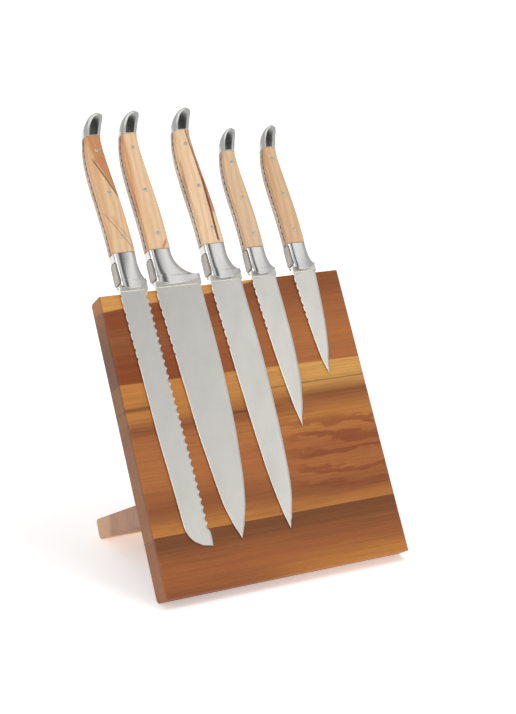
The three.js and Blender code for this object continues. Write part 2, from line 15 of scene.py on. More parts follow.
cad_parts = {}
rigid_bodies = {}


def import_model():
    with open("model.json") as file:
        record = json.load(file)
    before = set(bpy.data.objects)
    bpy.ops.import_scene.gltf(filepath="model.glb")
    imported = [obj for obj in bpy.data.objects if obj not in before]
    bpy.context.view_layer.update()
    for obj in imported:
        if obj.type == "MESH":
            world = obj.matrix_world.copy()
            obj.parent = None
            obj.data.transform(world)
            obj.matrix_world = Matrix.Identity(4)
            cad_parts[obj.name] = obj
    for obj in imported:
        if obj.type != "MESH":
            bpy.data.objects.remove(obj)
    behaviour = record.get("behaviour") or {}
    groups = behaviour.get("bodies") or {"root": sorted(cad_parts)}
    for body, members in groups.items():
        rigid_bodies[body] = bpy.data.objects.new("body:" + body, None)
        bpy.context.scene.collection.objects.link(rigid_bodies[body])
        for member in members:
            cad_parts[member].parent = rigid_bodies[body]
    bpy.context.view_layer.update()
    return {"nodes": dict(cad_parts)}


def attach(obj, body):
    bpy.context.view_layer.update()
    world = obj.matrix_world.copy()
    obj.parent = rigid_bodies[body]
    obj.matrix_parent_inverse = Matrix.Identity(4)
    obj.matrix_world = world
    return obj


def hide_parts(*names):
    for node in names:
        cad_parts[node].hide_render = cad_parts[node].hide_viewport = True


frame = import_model()

log = logging.getLogger("knife_block")

MM = 0.001  # the pieces are modelled in millimetres and placed in metres
TIGHT = 0.12  # the seam left between wood and steel that are fitted by hand


# ---------------------------------------------------------------- numbers and curves


def lerp(start: float, end: float, share: float) -> float:
    """The value a share of the way from start to end."""
    return start + (end - start) * share


def clamp(value: float, low: float = 0.0, high: float = 1.0) -> float:
    """The value, held between two limits."""
    return max(low, min(high, value))


def smooth(value: float) -> float:
    """A share from 0 to 1 eased at both ends."""
    held = clamp(value)
    return held * held * (3 - 2 * held)


class Curve:
    """A smooth curve through a list of (place, height) points, read at a place."""

    def __init__(self, points: Sequence[tuple[float, float]]) -> None:
        """Keeps the points, whose places only rise."""
        self.points = list(points)

    def _neighbours(self, k: int) -> list[tuple[float, float]]:
        """The four points round segment k, the end ones repeated."""
        last = len(self.points) - 1
        return [self.points[clamp_index(i, last)] for i in (k - 1, k, k + 1, k + 2)]

    def _mixed(self, k: int, share: float, axis: int) -> float:
        """One coordinate a share of the way along segment k."""
        a, b, c, d = (point[axis] for point in self._neighbours(k))
        leave, arrive = (c - a) / 2, (d - b) / 2
        cubic = (2 * b - 2 * c + leave + arrive) * share**3
        square = (-3 * b + 3 * c - 2 * leave - arrive) * share**2
        return cubic + square + leave * share + b

    def at(self, place: float) -> float:
        """The height of the curve at a place."""
        k = 0
        while k < len(self.points) - 2 and self.points[k + 1][0] < place:
            k += 1
        low, high = self.points[k][0], self.points[k + 1][0]
        return self._mixed(k, clamp((place - low) / (high - low)), 1)

    def along(self, share: float) -> tuple[float, float]:
        """The point a share of the way along, each segment taking as much as the next."""
        place = clamp(share) * (len(self.points) - 1)
        k = min(int(place), len(self.points) - 2)
        return self._mixed(k, place - k, 0), self._mixed(k, place - k, 1)


def clamp_index(index: int, last: int) -> int:
    """An index held inside a list."""
    return max(0, min(last, index))


# ---------------------------------------------------------------- modelling with operators


def deselect() -> None:
    """Leaves nothing selected, so that an operator acts on one piece alone."""
    if bpy.context.object and bpy.context.object.mode != "OBJECT":
        bpy.ops.object.mode_set(mode="OBJECT")
    for other in bpy.context.view_layer.objects:
        other.select_set(False)


def take(piece: bpy.types.Object) -> bpy.types.Object:
    """Selects one piece alone and makes it active.

    Args:
        piece: the piece to work on.

    Returns:
        The same piece.
    """
    deselect()
    piece.select_set(True)
    bpy.context.view_layer.objects.active = piece
    return piece


@contextmanager
def editing(piece: bpy.types.Object, mode: str = "VERT") -> Iterator[bmesh.types.BMesh]:
    """Opens a piece in edit mode with nothing selected, and closes it again.

    Args:
        piece: the piece to open.
        mode: what is selected in it, "VERT", "EDGE" or "FACE".

    Yields:
        The mesh being edited.
    """
    take(piece)
    bpy.ops.object.mode_set(mode="EDIT")
    bpy.ops.mesh.select_mode(type=mode)
    bpy.ops.mesh.select_all(action="DESELECT")
    yield bmesh.from_edit_mesh(piece.data)
    bpy.ops.object.mode_set(mode="OBJECT")


def modify(piece: bpy.types.Object, kind: str, **settings: object) -> None:
    """Adds one modifier to a piece and applies it.

    Args:
        piece: the piece.
        kind: the modifier's type.
        **settings: its settings by name.
    """
    take(piece)
    modifier = piece.modifiers.new(kind.lower(), kind)
    for name, value in settings.items():
        setattr(modifier, name, value)
    bpy.ops.object.modifier_apply(modifier=modifier.name)


def cut(piece: bpy.types.Object, *cutters: bpy.types.Object) -> None:
    """Takes the cutters' shapes out of a piece and throws the cutters away."""
    for cutter in cutters:
        modify(piece, "BOOLEAN", operation="DIFFERENCE", object=cutter, solver="EXACT")
        discard(cutter)


def discard(piece: bpy.types.Object) -> None:
    """Deletes a piece and its mesh."""
    mesh = piece.data
    bpy.data.objects.remove(piece)
    bpy.data.meshes.remove(mesh)


def settle(piece: bpy.types.Object, matrix: Matrix) -> None:
    """Puts a piece in its place and leaves that place in its mesh.

    Args:
        piece: a piece modelled in a frame of its own.
        matrix: from that frame to the row frame.
    """
    take(piece)
    piece.matrix_world = matrix
    bpy.ops.object.transform_apply(location=True, rotation=True, scale=True)


def sound(piece: bpy.types.Object, smooth_under: float = 35.0, weld: float = 1e-6) -> None:
    """Merges doubles, points the faces outwards and smooths all but the sharp edges.

    Args:
        piece: the piece to finish.
        smooth_under: the angle in degrees over which an edge stays sharp.
        weld: the distance under which vertices are one.
    """
    with editing(piece):
        bpy.ops.mesh.select_all(action="SELECT")
        bpy.ops.mesh.remove_doubles(threshold=weld)
        bpy.ops.mesh.normals_make_consistent(inside=False)
    take(piece)
    bpy.ops.object.shade_smooth_by_angle(angle=math.radians(smooth_under))


Ring = list[Vector]


def loft(name: str, rings: Sequence[Ring]) -> bpy.types.Object:
    """Draws a body out of a disc, one extrusion for each ring after the first.

    Args:
        name: the piece's name.
        rings: closed rings with the same number of points, from one end to the other.

    Returns:
        The closed body.
    """
    deselect()
    bpy.ops.mesh.primitive_circle_add(vertices=len(rings[0]), fill_type="NGON")
    piece = bpy.context.object
    piece.name = piece.data.name = name
    bpy.ops.object.mode_set(mode="EDIT")
    bpy.ops.mesh.select_mode(type="FACE")
    bpy.ops.mesh.select_all(action="SELECT")
    for k, ring in enumerate(rings):
        if k:
            bpy.ops.mesh.extrude_region_move()
        mesh = bmesh.from_edit_mesh(piece.data)
        end = next(face for face in reversed(mesh.faces[:]) if face.select)
        for corner, place in zip(end.loops, ring):
            corner.vert.co = place
        bmesh.update_edit_mesh(piece.data)
    bpy.ops.object.mode_set(mode="OBJECT")
    sound(piece)
    return piece


def bar(name: str, low: Vector, high: Vector) -> bpy.types.Object:
    """A box between two corners, to cut with or to shape further.

    Args:
        name: the box's name.
        low: its corner with the lowest coordinates.
        high: its corner with the highest.

    Returns:
        The box.
    """
    deselect()
    size = high - low
    bpy.ops.mesh.primitive_cube_add(size=1, location=(low + high) / 2, scale=size)
    piece = bpy.context.object
    piece.name = piece.data.name = name
    bpy.ops.object.transform_apply(location=True, rotation=True, scale=True)
    return piece


def rod(name: str, radius: float, start: Vector, end: Vector, sides: int = 24) -> bpy.types.Object:
    """A round rod between two points.

    Args:
        name: the rod's name.
        radius: its radius.
        start: the middle of one end.
        end: the middle of the other.
        sides: how many flats it has round it.

    Returns:
        The rod.
    """
    deselect()
    line = end - start
    turn = line.to_track_quat("Z", "Y").to_euler()
    bpy.ops.mesh.primitive_cylinder_add(
        vertices=sides, radius=radius, depth=line.length, location=(start + end) / 2, rotation=turn
    )
    piece = bpy.context.object
    piece.name = piece.data.name = name
    bpy.ops.object.transform_apply(location=True, rotation=True, scale=True)
    return piece


def round_edges(piece: bpy.types.Object, along: Vector, radius: float, segments: int) -> None:
    """Rounds the edges of a piece that run along a direction.

    Args:
        piece: the piece.
        along: the direction, of length 1.
        radius: the radius of the rounding.
        segments: the flats that make it up.
    """
    with editing(piece, "EDGE") as mesh:
        for edge in mesh.edges:
            line = (edge.verts[1].co - edge.verts[0].co).normalized()
            edge.select = abs(line.dot(along)) > 0.99
        bmesh.update_edit_mesh(piece.data)
        bpy.ops.mesh.bevel(offset=radius, segments=segments, profile=0.5, affect="EDGES")


def ease(piece: bpy.types.Object, width: float, segments: int = 2, over: float = 40.0) -> None:
    """Takes the sharpness off every edge over an angle.

    Args:
        piece: the piece.
        width: how wide the eased edge is.
        segments: the flats that make it up.
        over: the angle in degrees.
    """
    modify(
        piece, "BEVEL", width=width, segments=segments,
        limit_method="ANGLE", angle_limit=math.radians(over), use_clamp_overlap=True,
    )


def twin(piece: bpy.types.Object, name: str, matrix: Matrix) -> bpy.types.Object:
    """A copy of a piece with a mesh of its own.

    Args:
        piece: the piece to copy.
        name: the copy's name.
        matrix: moves the copy.

    Returns:
        The copy.
    """
    mesh = piece.data.copy()
    mesh.transform(matrix)
    copy = bpy.data.objects.new(name, mesh)
    mesh.name = name
    bpy.context.scene.collection.objects.link(copy)
    return copy


def carried_over(node: str, edge: float, over: float = 40.0) -> bpy.types.Object:
    """A clean copy of a CAD node: one skin, flat faces whole, edges eased.

    Args:
        node: the CAD node's name.
        edge: the width of the eased edge, in metres.
        over: the angle in degrees over which an edge is eased.

    Returns:
        The copy, in the node's place.
    """
    mesh = frame["nodes"][node].data.copy()
    mesh.materials.clear()
    piece = bpy.data.objects.new(f"{node}_fine", mesh)
    bpy.context.scene.collection.objects.link(piece)
    with editing(piece):
        bpy.ops.mesh.customdata_custom_splitnormals_clear()
        bpy.ops.mesh.select_all(action="SELECT")
        bpy.ops.mesh.remove_doubles(threshold=1e-6)
        bpy.ops.mesh.dissolve_limited(angle_limit=math.radians(1.5))
        bpy.ops.mesh.normals_make_consistent(inside=False)
    if edge:
        ease(piece, edge, over=over)
    sound(piece, smooth_under=32)
    modify(piece, "WEIGHTED_NORMAL", keep_sharp=True)
    return piece


# ---------------------------------------------------------------- shader wiring


class Wire:
    """A value on its way through a shader. Arithmetic on it adds Math nodes."""

    def __init__(self, recipe: "Recipe", socket: bpy.types.NodeSocket) -> None:
        """Keeps the recipe it belongs to and the socket it comes from."""
        self.recipe = recipe
        self.socket = socket

    def _maths(self, operation: str, *values: "Wire | float") -> "Wire":
        """One Math node."""
        return self.recipe.node("ShaderNodeMath", {"operation": operation}, dict(enumerate(values)))

    def __add__(self, other: "Wire | float") -> "Wire":
        """This plus another."""
        return self._maths("ADD", self, other)

    __radd__ = __add__

    def __sub__(self, other: "Wire | float") -> "Wire":
        """This less another."""
        return self._maths("SUBTRACT", self, other)

    def __rsub__(self, other: "Wire | float") -> "Wire":
        """Another less this."""
        return self._maths("SUBTRACT", other, self)

    def __mul__(self, other: "Wire | float") -> "Wire":
        """This times another."""
        return self._maths("MULTIPLY", self, other)

    __rmul__ = __mul__

    def __truediv__(self, other: "Wire | float") -> "Wire":
        """This divided by another."""
        return self._maths("DIVIDE", self, other)

    def __abs__(self) -> "Wire":
        """This without its sign."""
        return self._maths("ABSOLUTE", self)

    def sine(self) -> "Wire":
        """The sine of this."""
        return self._maths("SINE", self)

    def higher(self, other: "Wire | float") -> "Wire":
        """The higher of this and another."""
        return self._maths("MAXIMUM", self, other)

    def lower(self, other: "Wire | float") -> "Wire":
        """The lower of this and another."""
        return self._maths("MINIMUM", self, other)

    def rise(self, low: "Wire | float", high: "Wire | float") -> "Wire":
        """A mask that eases from 0 at low to 1 at high."""
        settings = {"interpolation_type": "SMOOTHSTEP"}
        return self.recipe.node("ShaderNodeMapRange", settings, {0: self, 1: low, 2: high, 3: 0.0, 4: 1.0})

    def band(self, low: float, high: float, soft: float) -> "Wire":
        """A mask that is 1 between two values, with soft sides."""
        return self.rise(low - soft, low + soft) * (1 - self.rise(high - soft, high + soft))


class Blend(Enum):
    """How one colour is laid on another."""

    OVER = "MIX"
    TIMES = "MULTIPLY"


def tint(code: str) -> tuple[float, float, float, float]:
    """A hexadecimal screen colour as the linear colour a shader takes."""
    parts = [int(code[i : i + 2], 16) / 255 for i in (1, 3, 5)]
    linear = [part / 12.92 if part <= 0.04045 else ((part + 0.055) / 1.055) ** 2.4 for part in parts]
    return (*linear, 1.0)


@dataclass
class Recipe:
    """One material being mixed: its nodes, and the sockets of its surface."""

    name: str
    material: bpy.types.Material = field(init=False)

    def __post_init__(self) -> None:
        """Starts the material with a bare surface."""
        self.material = bpy.data.materials.new(self.name)
        self.material.use_nodes = True
        nodes = self.material.node_tree.nodes
        self.surface = next(node for node in nodes if node.type == "BSDF_PRINCIPLED")

    def node(
        self, kind: str, settings: dict[str, object], inputs: dict[int | str, object], output: int | str = 0
    ) -> Wire:
        """Adds one node.

        Args:
            kind: the node's type.
            settings: its settings, set first; "stops" are a ramp's places and colours.
            inputs: the value or wire of each input, by name or number.
            output: the output that is wanted.

        Returns:
            The wire that leaves that output.
        """
        made = self.material.node_tree.nodes.new(kind)
        for name, value in settings.items():
            if name == "stops":
                self._set_stops(made.color_ramp, value)
            else:
                setattr(made, name, value)
        for key, value in inputs.items():
            self._feed(made.inputs[key], value)
        return Wire(self, made.outputs[output])

    def _set_stops(self, ramp: bpy.types.ColorRamp, stops: Sequence[tuple[float, str]]) -> None:
        """Gives a ramp its places and colours."""
        while len(ramp.elements) < len(stops):
            ramp.elements.new(1.0)
        for element, (place, code) in zip(ramp.elements, stops):
            element.position = place
            element.color = tint(code)

    def _feed(self, socket: bpy.types.NodeSocket, value: object) -> None:
        """Links a wire to a socket, or sets the socket's own value."""
        if isinstance(value, Wire):
            self.material.node_tree.links.new(value.socket, socket)
        else:
            socket.default_value = tint(value) if isinstance(value, str) else value

    def local(self, matrix: Matrix) -> tuple[Wire, Wire, Wire]:
        """The place on the surface in a piece's own frame.

        Args:
            matrix: from that frame, in millimetres, to the row frame.

        Returns:
            Its three coordinates in millimetres.
        """
        where = self.node("ShaderNodeTexCoord", {}, {}, "Object")
        location, rotation, scale = matrix.decompose()
        settings = {"vector_type": "TEXTURE"}
        placing = {"Vector": where, "Location": location, "Rotation": rotation.to_euler(), "Scale": scale}
        inside = self.node("ShaderNodeMapping", settings, placing)
        return tuple(self.node("ShaderNodeSeparateXYZ", {}, {0: inside}, axis) for axis in range(3))

    def noise(
        self, place: Sequence["Wire | float"], detail: float = 2.0, rough: float = 0.5, twist: float = 0.0
    ) -> Wire:
        """Cloudy noise from 0 to 1, one unit across."""
        vector = self.node("ShaderNodeCombineXYZ", {}, dict(enumerate(place)))
        values = {"Vector": vector, "Scale": 1.0, "Detail": detail, "Roughness": rough, "Distortion": twist}
        return self.node("ShaderNodeTexNoise", {}, values)

    def ramp(self, value: Wire, stops: Sequence[tuple[float, str]], kind: str = "LINEAR") -> Wire:
        """Colours by a value from 0 to 1."""
        made = self.node("ShaderNodeValToRGB", {"stops": stops}, {0: value})
        made.socket.node.color_ramp.interpolation = kind
        return made

    def mix(self, share: "Wire | float", first: object, second: object, blend: Blend = Blend.OVER) -> Wire:
        """Lays the second colour on the first by a share."""
        settings = {"data_type": "RGBA", "blend_type": blend.value, "clamp_factor": True}
        return self.node("ShaderNodeMix", settings, {0: share, 6: first, 7: second}, 2)

    def shade(self, colour: Wire, amount: Wire) -> Wire:
        """A colour made lighter or darker by an amount, 1 leaving it as it is."""
        scaling = {"operation": "SCALE"}
        return self.node("ShaderNodeVectorMath", scaling, {0: colour, "Scale": amount})

    def relief(self, height: Wire, depth: float) -> None:
        """Raises the surface by a height from 0 to 1, times a depth in metres."""
        values = {"Height": height, "Distance": depth, "Strength": 1.0}
        self._feed(self.surface.inputs["Normal"], self.node("ShaderNodeBump", {}, values))

    def done(self, **sockets: object) -> bpy.types.Material:
        """Feeds the surface's sockets, named with underscores for spaces, and gives the material."""
        for name, value in sockets.items():
            self._feed(self.surface.inputs[name.replace("_", " ")], value)
        return self.material


# ---------------------------------------------------------------- frames of the object


@dataclass(frozen=True)
class Panel:
    """The leaning board's sizes, and the frame in which the knives and the leg are placed."""

    width: float = 206.4
    height: float = 233.6
    thickness: float = 22.8
    lean: float = math.radians(31)
    back_radius: float = 6.0
    flat_depth: float = 0.35

    @property
    def turn(self) -> Matrix:
        """The board's lean."""
        return Matrix.Rotation(-self.lean, 4, "X")

    @property
    def matrix(self) -> Matrix:
        """From the board's frame in millimetres to the row frame."""
        sine, cosine = math.sin(self.lean), math.cos(self.lean)
        depth = self.back_radius * (cosine - sine)
        height = self.back_radius - self.flat_depth - self.back_radius * (sine + cosine)
        return Matrix.Scale(MM, 4) @ Matrix.Translation((0, depth, height)) @ self.turn

    def at(self, x: float, y: float, z: float, turn: float = 0.0) -> Matrix:
        """A frame at a place on the board, turned about its width."""
        return self.matrix @ Matrix.Translation((x, y, z)) @ Matrix.Rotation(turn, 4, "X")


PANEL = Panel()


# ---------------------------------------------------------------- finishes


class Tone(Enum):
    """The colours found in the board's wood."""

    UMBER = "#764a2d"
    MAHOGANY = "#854521"
    WALNUT = "#8a5333"
    RUSSET = "#9b5f39"
    COPPER = "#a96c40"
    HONEY = "#b87d43"
    GOLD = "#ca9c5e"


@dataclass(frozen=True)
class Stave:
    """One plank of the glued-up board: where it lies, and its tones up its height on each side."""

    low: float
    high: float
    slope: float
    left: tuple[tuple[float, Tone], ...]
    right: tuple[tuple[float, Tone], ...]


STAVES = (
    Stave(
        0.0, 45.7, 0.0,
        left=((0.0, Tone.WALNUT), (0.25, Tone.RUSSET), (0.5, Tone.RUSSET), (0.85, Tone.UMBER)),
        right=((0.1, Tone.HONEY), (0.4, Tone.RUSSET), (0.85, Tone.UMBER)),
    ),
    Stave(
        45.7, 163.0, -3.2,
        left=((0.0, Tone.HONEY), (0.17, Tone.WALNUT), (0.32, Tone.COPPER), (0.6, Tone.COPPER),
              (0.68, Tone.WALNUT), (0.78, Tone.HONEY)),
        right=((0.0, Tone.HONEY), (0.1, Tone.WALNUT), (0.25, Tone.COPPER), (0.42, Tone.RUSSET),
               (0.6, Tone.HONEY), (0.76, Tone.WALNUT), (0.84, Tone.GOLD)),
    ),
    Stave(
        163.0, 233.6, 0.0,
        left=((0.2, Tone.MAHOGANY), (0.5, Tone.WALNUT), (0.7, Tone.MAHOGANY), (1.0, Tone.WALNUT)),
        right=((0.0, Tone.COPPER), (0.4, Tone.COPPER), (0.85, Tone.WALNUT)),
    ),
)


@dataclass(frozen=True)
class BoardWood:
    """Oiled acacia, glued up from planks whose grain runs along the width."""

    sapwood: str = "#cf9c5c"
    # end-grain tones up the height, darkened as painted shade of the board's side faces
    end_grain_and_shade: tuple[tuple[float, str], ...] = (
        (0.0, "#9a6a4c"), (0.5, "#7d5c4b"), (0.82, "#614738"), (1.0, "#996640"),
    )
    oil: str = "#fff3d8"

    def material(self) -> bpy.types.Material:
        """Mixes the material."""
        recipe = Recipe("acacia_board")
        x, y, z = recipe.local(PANEL.matrix)
        drift = recipe.noise((x * 0.007, y * 0.03, z * 0.02), 2) - 0.5
        wander = recipe.noise((x * 0.018, y * 0.08, z * 0.09), 3, 0.55) - 0.5
        across = (x + 140 * drift).rise(-75, 85)
        colour: Wire | None = None
        for stave in STAVES:
            colour = self._lay_stave(recipe, colour, stave, (x, y, z), across, wander)
        colour = self._lay_sapwood(recipe, colour, (x, y, z), wander)
        colour = self._lay_curl(recipe, colour, (x, z), wander)
        colour = self._lay_knot(recipe, colour, (x, z), wander)
        fibre = recipe.noise((x * 0.02, y * 0.9, z * 1.3), 5, 0.62)
        streak = recipe.noise((x * 0.008 + 5, y * 0.16, z * 0.34), 3, 0.6, 0.3)
        pore = recipe.noise((x * 0.11, y * 2.2, z * 2.6), 2, 0.5).rise(0.6, 0.72)
        colour = recipe.shade(colour, 0.42 + 0.72 * fibre + 0.46 * streak - 0.2 * pore)
        colour = self._lay_ends(recipe, colour, (x, y, z))
        colour = recipe.mix(1.0, colour, self.oil, Blend.TIMES)
        recipe.relief(fibre * 0.6 - pore * 0.5, 0.00006)
        rough = 0.5 + 0.12 * (fibre - 0.5) + 0.1 * pore
        return recipe.done(Base_Color=colour, Roughness=rough, Specular_IOR_Level=0.22)

    def _lay_stave(
        self, recipe: Recipe, under: Wire | None, stave: Stave, place: tuple[Wire, Wire, Wire],
        across: Wire, wander: Wire,
    ) -> Wire:
        """Lays one plank's tones above its glue line.

        Args:
            recipe: the board's material.
            under: the colour so far, or nothing under the lowest plank.
            stave: the plank.
            place: the place on the surface, in millimetres.
            across: a share from the left tones to the right ones.
            wander: noise that shifts the tones up and down.

        Returns:
            The colour with this plank in it.
        """
        x, y, z = place
        tall = stave.high - stave.low
        shifted = z + 7 * wander + 0.12 * (y + PANEL.thickness)
        inside = ((shifted - stave.low) / tall).higher(0.004).lower(0.996)
        left, right = (
            recipe.ramp(inside, [(height, tone.value) for height, tone in side])
            for side in (stave.left, stave.right)
        )
        colour = recipe.mix(across, left, right)
        if under is None:
            return colour
        line = stave.low + STAVES[1].slope * (x + PANEL.width / 2) / PANEL.width * (stave.low > 100)
        return recipe.mix((z - line).rise(-0.25, 0.25), under, colour)

    def _lay_sapwood(
        self, recipe: Recipe, under: Wire, place: tuple[Wire, Wire, Wire], wander: Wire
    ) -> Wire:
        """Lays the pale wedge of sapwood along the top of the left half."""
        x, y, z = place
        line = 227.4 + 0.064 * x + 0.07 * (x + 14).higher(0.0) + 3 * wander + 0.15 * (y + PANEL.thickness)
        edge = (z - line).rise(-0.7, 1.0)
        kept = edge * (1 - x.rise(26, 46))
        return recipe.mix(kept * 0.95, under, self.sapwood)

    def _lay_curl(self, recipe: Recipe, under: Wire, place: tuple[Wire, Wire], wander: Wire) -> Wire:
        """Lays the dark curled figure on the right of the middle plank."""
        x, z = place
        bow = (z - 82) - 0.0011 * (x - 100) * (x - 100) * (1 + wander)
        knots = recipe.noise((x * 0.035, z * 0.1, 4.0), 3, 0.6, 0.4) - 0.5
        rings = (bow * 0.5 + 8 * wander + 9 * knots).sine() * 0.5 + 0.5
        where = x.rise(5, 45) * z.band(60, 116, 7)
        dark = where * rings.rise(0.35, 0.9) * 0.62
        return recipe.mix(dark, under, "#7d3c26")

    def _lay_knot(self, recipe: Recipe, under: Wire, place: tuple[Wire, Wire], wander: Wire) -> Wire:
        """Lays the short dark streaks in the golden band of the middle plank."""
        x, z = place
        shaken = z + 5 * wander
        left = shaken.band(141.5, 144, 0.9) * (1 - x.rise(-80, -60))
        right = shaken.band(143.8, 145.2, 0.6) * x.rise(10, 20) * 0.6
        middle = shaken.band(128, 130.5, 1.0) * x.band(-22, 22, 8) * 0.8
        return recipe.mix((left * 0.75 + right + middle).lower(0.8), under, "#6d3d22")

    def _lay_ends(self, recipe: Recipe, under: Wire, place: tuple[Wire, Wire, Wire]) -> Wire:
        """Turns the board's two ends to end grain, greyer and ringed, with painted shade: the end tones are
        darkened, darkest near the top, to stand in for the shade that falls on the side faces.
        """
        x, y, z = place
        end = abs(x).rise(PANEL.width / 2 - 1.0, PANEL.width / 2 - 0.2)
        bow = recipe.noise((y * 0.02, z * 0.05, 3.0), 2) - 0.5
        rings = recipe.noise((0.0, y * 0.1, z * 0.55 + y * 0.12 + 14 * bow), 3, 0.6)
        speck = recipe.noise((0.0, y * 2.2, z * 2.2), 2, 0.6)
        # painted shade: the end-grain tones by height darken the side faces, most near the top
        pale = recipe.mix(0.75, under, recipe.ramp(z / PANEL.height, self.end_grain_and_shade))
        return recipe.mix(end, under, recipe.shade(pale, 0.56 + 0.56 * rings + 0.3 * speck))


@dataclass(frozen=True)
class PlainAcacia:
    """Acacia of one plank: the leg, and the strips that close the slots."""

    name: str
    frame: Matrix
    stops: tuple[tuple[float, str], ...]
    reach: tuple[float, float]
    end_from: float
    end_tint: str = "#a98872"
    gain: float = 0.6

    def material(self) -> bpy.types.Material:
        """Mixes the material."""
        recipe = Recipe(self.name)
        x, y, z = recipe.local(self.frame)
        wander = recipe.noise((x * 0.012, y * 0.06, z * 0.1), 3) - 0.5
        low, high = self.reach
        inside = (y + 10 * wander + 0.35 * z - low) / (high - low)
        colour = recipe.ramp(inside, self.stops)
        fibre = recipe.noise((x * 0.02, y * 1.1, z * 1.1), 5, 0.62)
        streak = recipe.noise((x * 0.006, y * 0.2, z * 0.25), 3, 0.6)
        pore = recipe.noise((x * 0.11, y * 2.3, z * 2.3), 2).rise(0.6, 0.72)
        colour = recipe.shade(colour, self.gain + 0.42 * fibre + 0.4 * streak - 0.16 * pore)
        end = abs(x).rise(self.end_from - 0.8, self.end_from)
        rings = recipe.noise((0.0, y * 0.5 + z * 0.22, z * 0.06), 3, 0.6)
        pale = recipe.mix(0.45, colour, self.end_tint)
        colour = recipe.mix(end, colour, recipe.shade(pale, 0.7 + 0.6 * rings))
        recipe.relief(fibre * 0.6 - pore * 0.5, 0.00006)
        return recipe.done(Base_Color=colour, Roughness=0.5 + 0.1 * pore, Specular_IOR_Level=0.22)


class Steel(Enum):
    """The ways the steel of this block is finished."""

    SATIN = "satin"
    POLISHED = "polished"
    HARDWARE = "hardware"
    # the filed steel is painted a darker grey, partly as painted shade
    FILED = "filed"


@dataclass(frozen=True)
class SteelFinish:
    """Steel: how it was rubbed, and how bright it is."""

    kind: Steel
    colour: str
    smear: str
    rough: float
    scratch: float
    frame: Matrix

    def material(self) -> bpy.types.Material:
        """Mixes the material."""
        recipe = Recipe(f"{self.kind.value}_steel")
        x, y, z = recipe.local(self.frame)
        lines = recipe.noise((x * 0.05, y * 0.6, z * 7.0), 3, 0.6)
        long_lines = recipe.noise((x * 5.0, y * 2.0, z * 0.03), 2, 0.6)
        cloud = recipe.noise((x * 0.05, y * 0.05, z * 0.03), 3, 0.55)
        rubbed = lines * 0.65 + long_lines * 0.35
        colour = recipe.mix(cloud.rise(0.3, 0.75), self.colour, self.smear)
        colour = recipe.shade(colour, 0.93 + 0.14 * rubbed)
        rough = self.rough + (0.16 * (rubbed - 0.5) + 0.1 * (cloud - 0.5)) * (0.4 + self.scratch)
        recipe.relief(rubbed, 0.000012 * self.scratch)
        return recipe.done(Base_Color=colour, Roughness=rough, Metallic=1.0)


@dataclass(frozen=True)
class Streak:
    """A line of figure across a handle, in the knife's own frame."""

    start: tuple[float, float]
    end: tuple[float, float]
    width: float
    colour: str
    strength: float = 0.8
    shake: float = 2.0
    one_sided: bool = False


@dataclass(frozen=True)
class OliveWood:
    """Oiled olive wood: honey, with figure that differs from handle to handle."""

    name: str
    frame: Matrix
    seed: float
    pale: str
    warm: str
    spine_warmth: float
    streaks: tuple[Streak, ...]

    def material(self) -> bpy.types.Material:
        """Mixes the material."""
        recipe = Recipe(self.name)
        x, y, z = recipe.local(self.frame)
        wander = recipe.noise((x * 0.12, y * 0.12, z * 0.022 + self.seed), 3, 0.55) - 0.5
        rings = ((x * 0.5 + y * 0.35 + 5.5 * wander + self.seed) * 2.2).sine() * 0.5 + 0.5
        colour = recipe.mix(rings.rise(0.2, 1.0) * 0.34, self.pale, self.warm)
        spine = 1 - (x + 1.5 * wander).rise(-0.5, 2.6)
        colour = recipe.mix(spine * self.spine_warmth, colour, self.warm)
        for streak in self.streaks:
            colour = self._lay_streak(recipe, colour, streak, (x, z), wander)
        fibre = recipe.noise((x * 1.7, y * 1.7, z * 0.045 + self.seed), 5, 0.6)
        pore = recipe.noise((x * 3.2, y * 3.2, z * 0.22), 2).rise(0.6, 0.72)
        colour = recipe.shade(colour, 0.74 + 0.4 * fibre - 0.12 * pore)
        recipe.relief(fibre * 0.5 - pore * 0.4, 0.00004)
        rough = 0.4 + 0.14 * (fibre - 0.5)
        return recipe.done(Base_Color=colour, Roughness=rough, Coat_Weight=0.5, Coat_Roughness=0.25)

    def _lay_streak(
        self, recipe: Recipe, under: Wire, streak: Streak, place: tuple[Wire, Wire], wander: Wire
    ) -> Wire:
        """Lays one line of figure, fading at its two ends."""
        x, z = place
        ragged = recipe.noise((x * 0.35, z * 0.35, self.seed), 3, 0.6) - 0.5
        start, end = Vector(streak.start), Vector(streak.end)
        way = (end - start).normalized()
        along = (x - start.x) * way.x + (z - start.y) * way.y
        off = (x - start.x) * way.y - (z - start.y) * way.x + streak.shake * wander + ragged * 1.1
        span = (end - start).length
        inside = along.band(0.0, span, 2.5)
        if streak.one_sided:
            line = 1 - off.rise(-streak.width, 0.0)
        else:
            line = 1 - abs(off).rise(streak.width * 0.35, streak.width)
        return recipe.mix(inside * line * streak.strength, under, streak.colour)


@dataclass(frozen=True)
class MagnetCoat:
    """The dark, faintly grained coat of a pressed magnet."""

    colour: str = "#2e2d2f"
    sheen: str = "#454347"

    def material(self) -> bpy.types.Material:
        """Mixes the material."""
        recipe = Recipe("magnet_coat")
        x, y, z = recipe.local(PANEL.matrix)
        grain = recipe.noise((x * 2.0, y * 2.0, z * 2.0), 3)
        recipe.relief(grain, 0.00003)
        colour = recipe.mix(grain, self.colour, self.sheen)
        return recipe.done(Base_Color=colour, Roughness=0.5 + 0.2 * grain, Metallic=0.3)


# ---------------------------------------------------------------- delivery


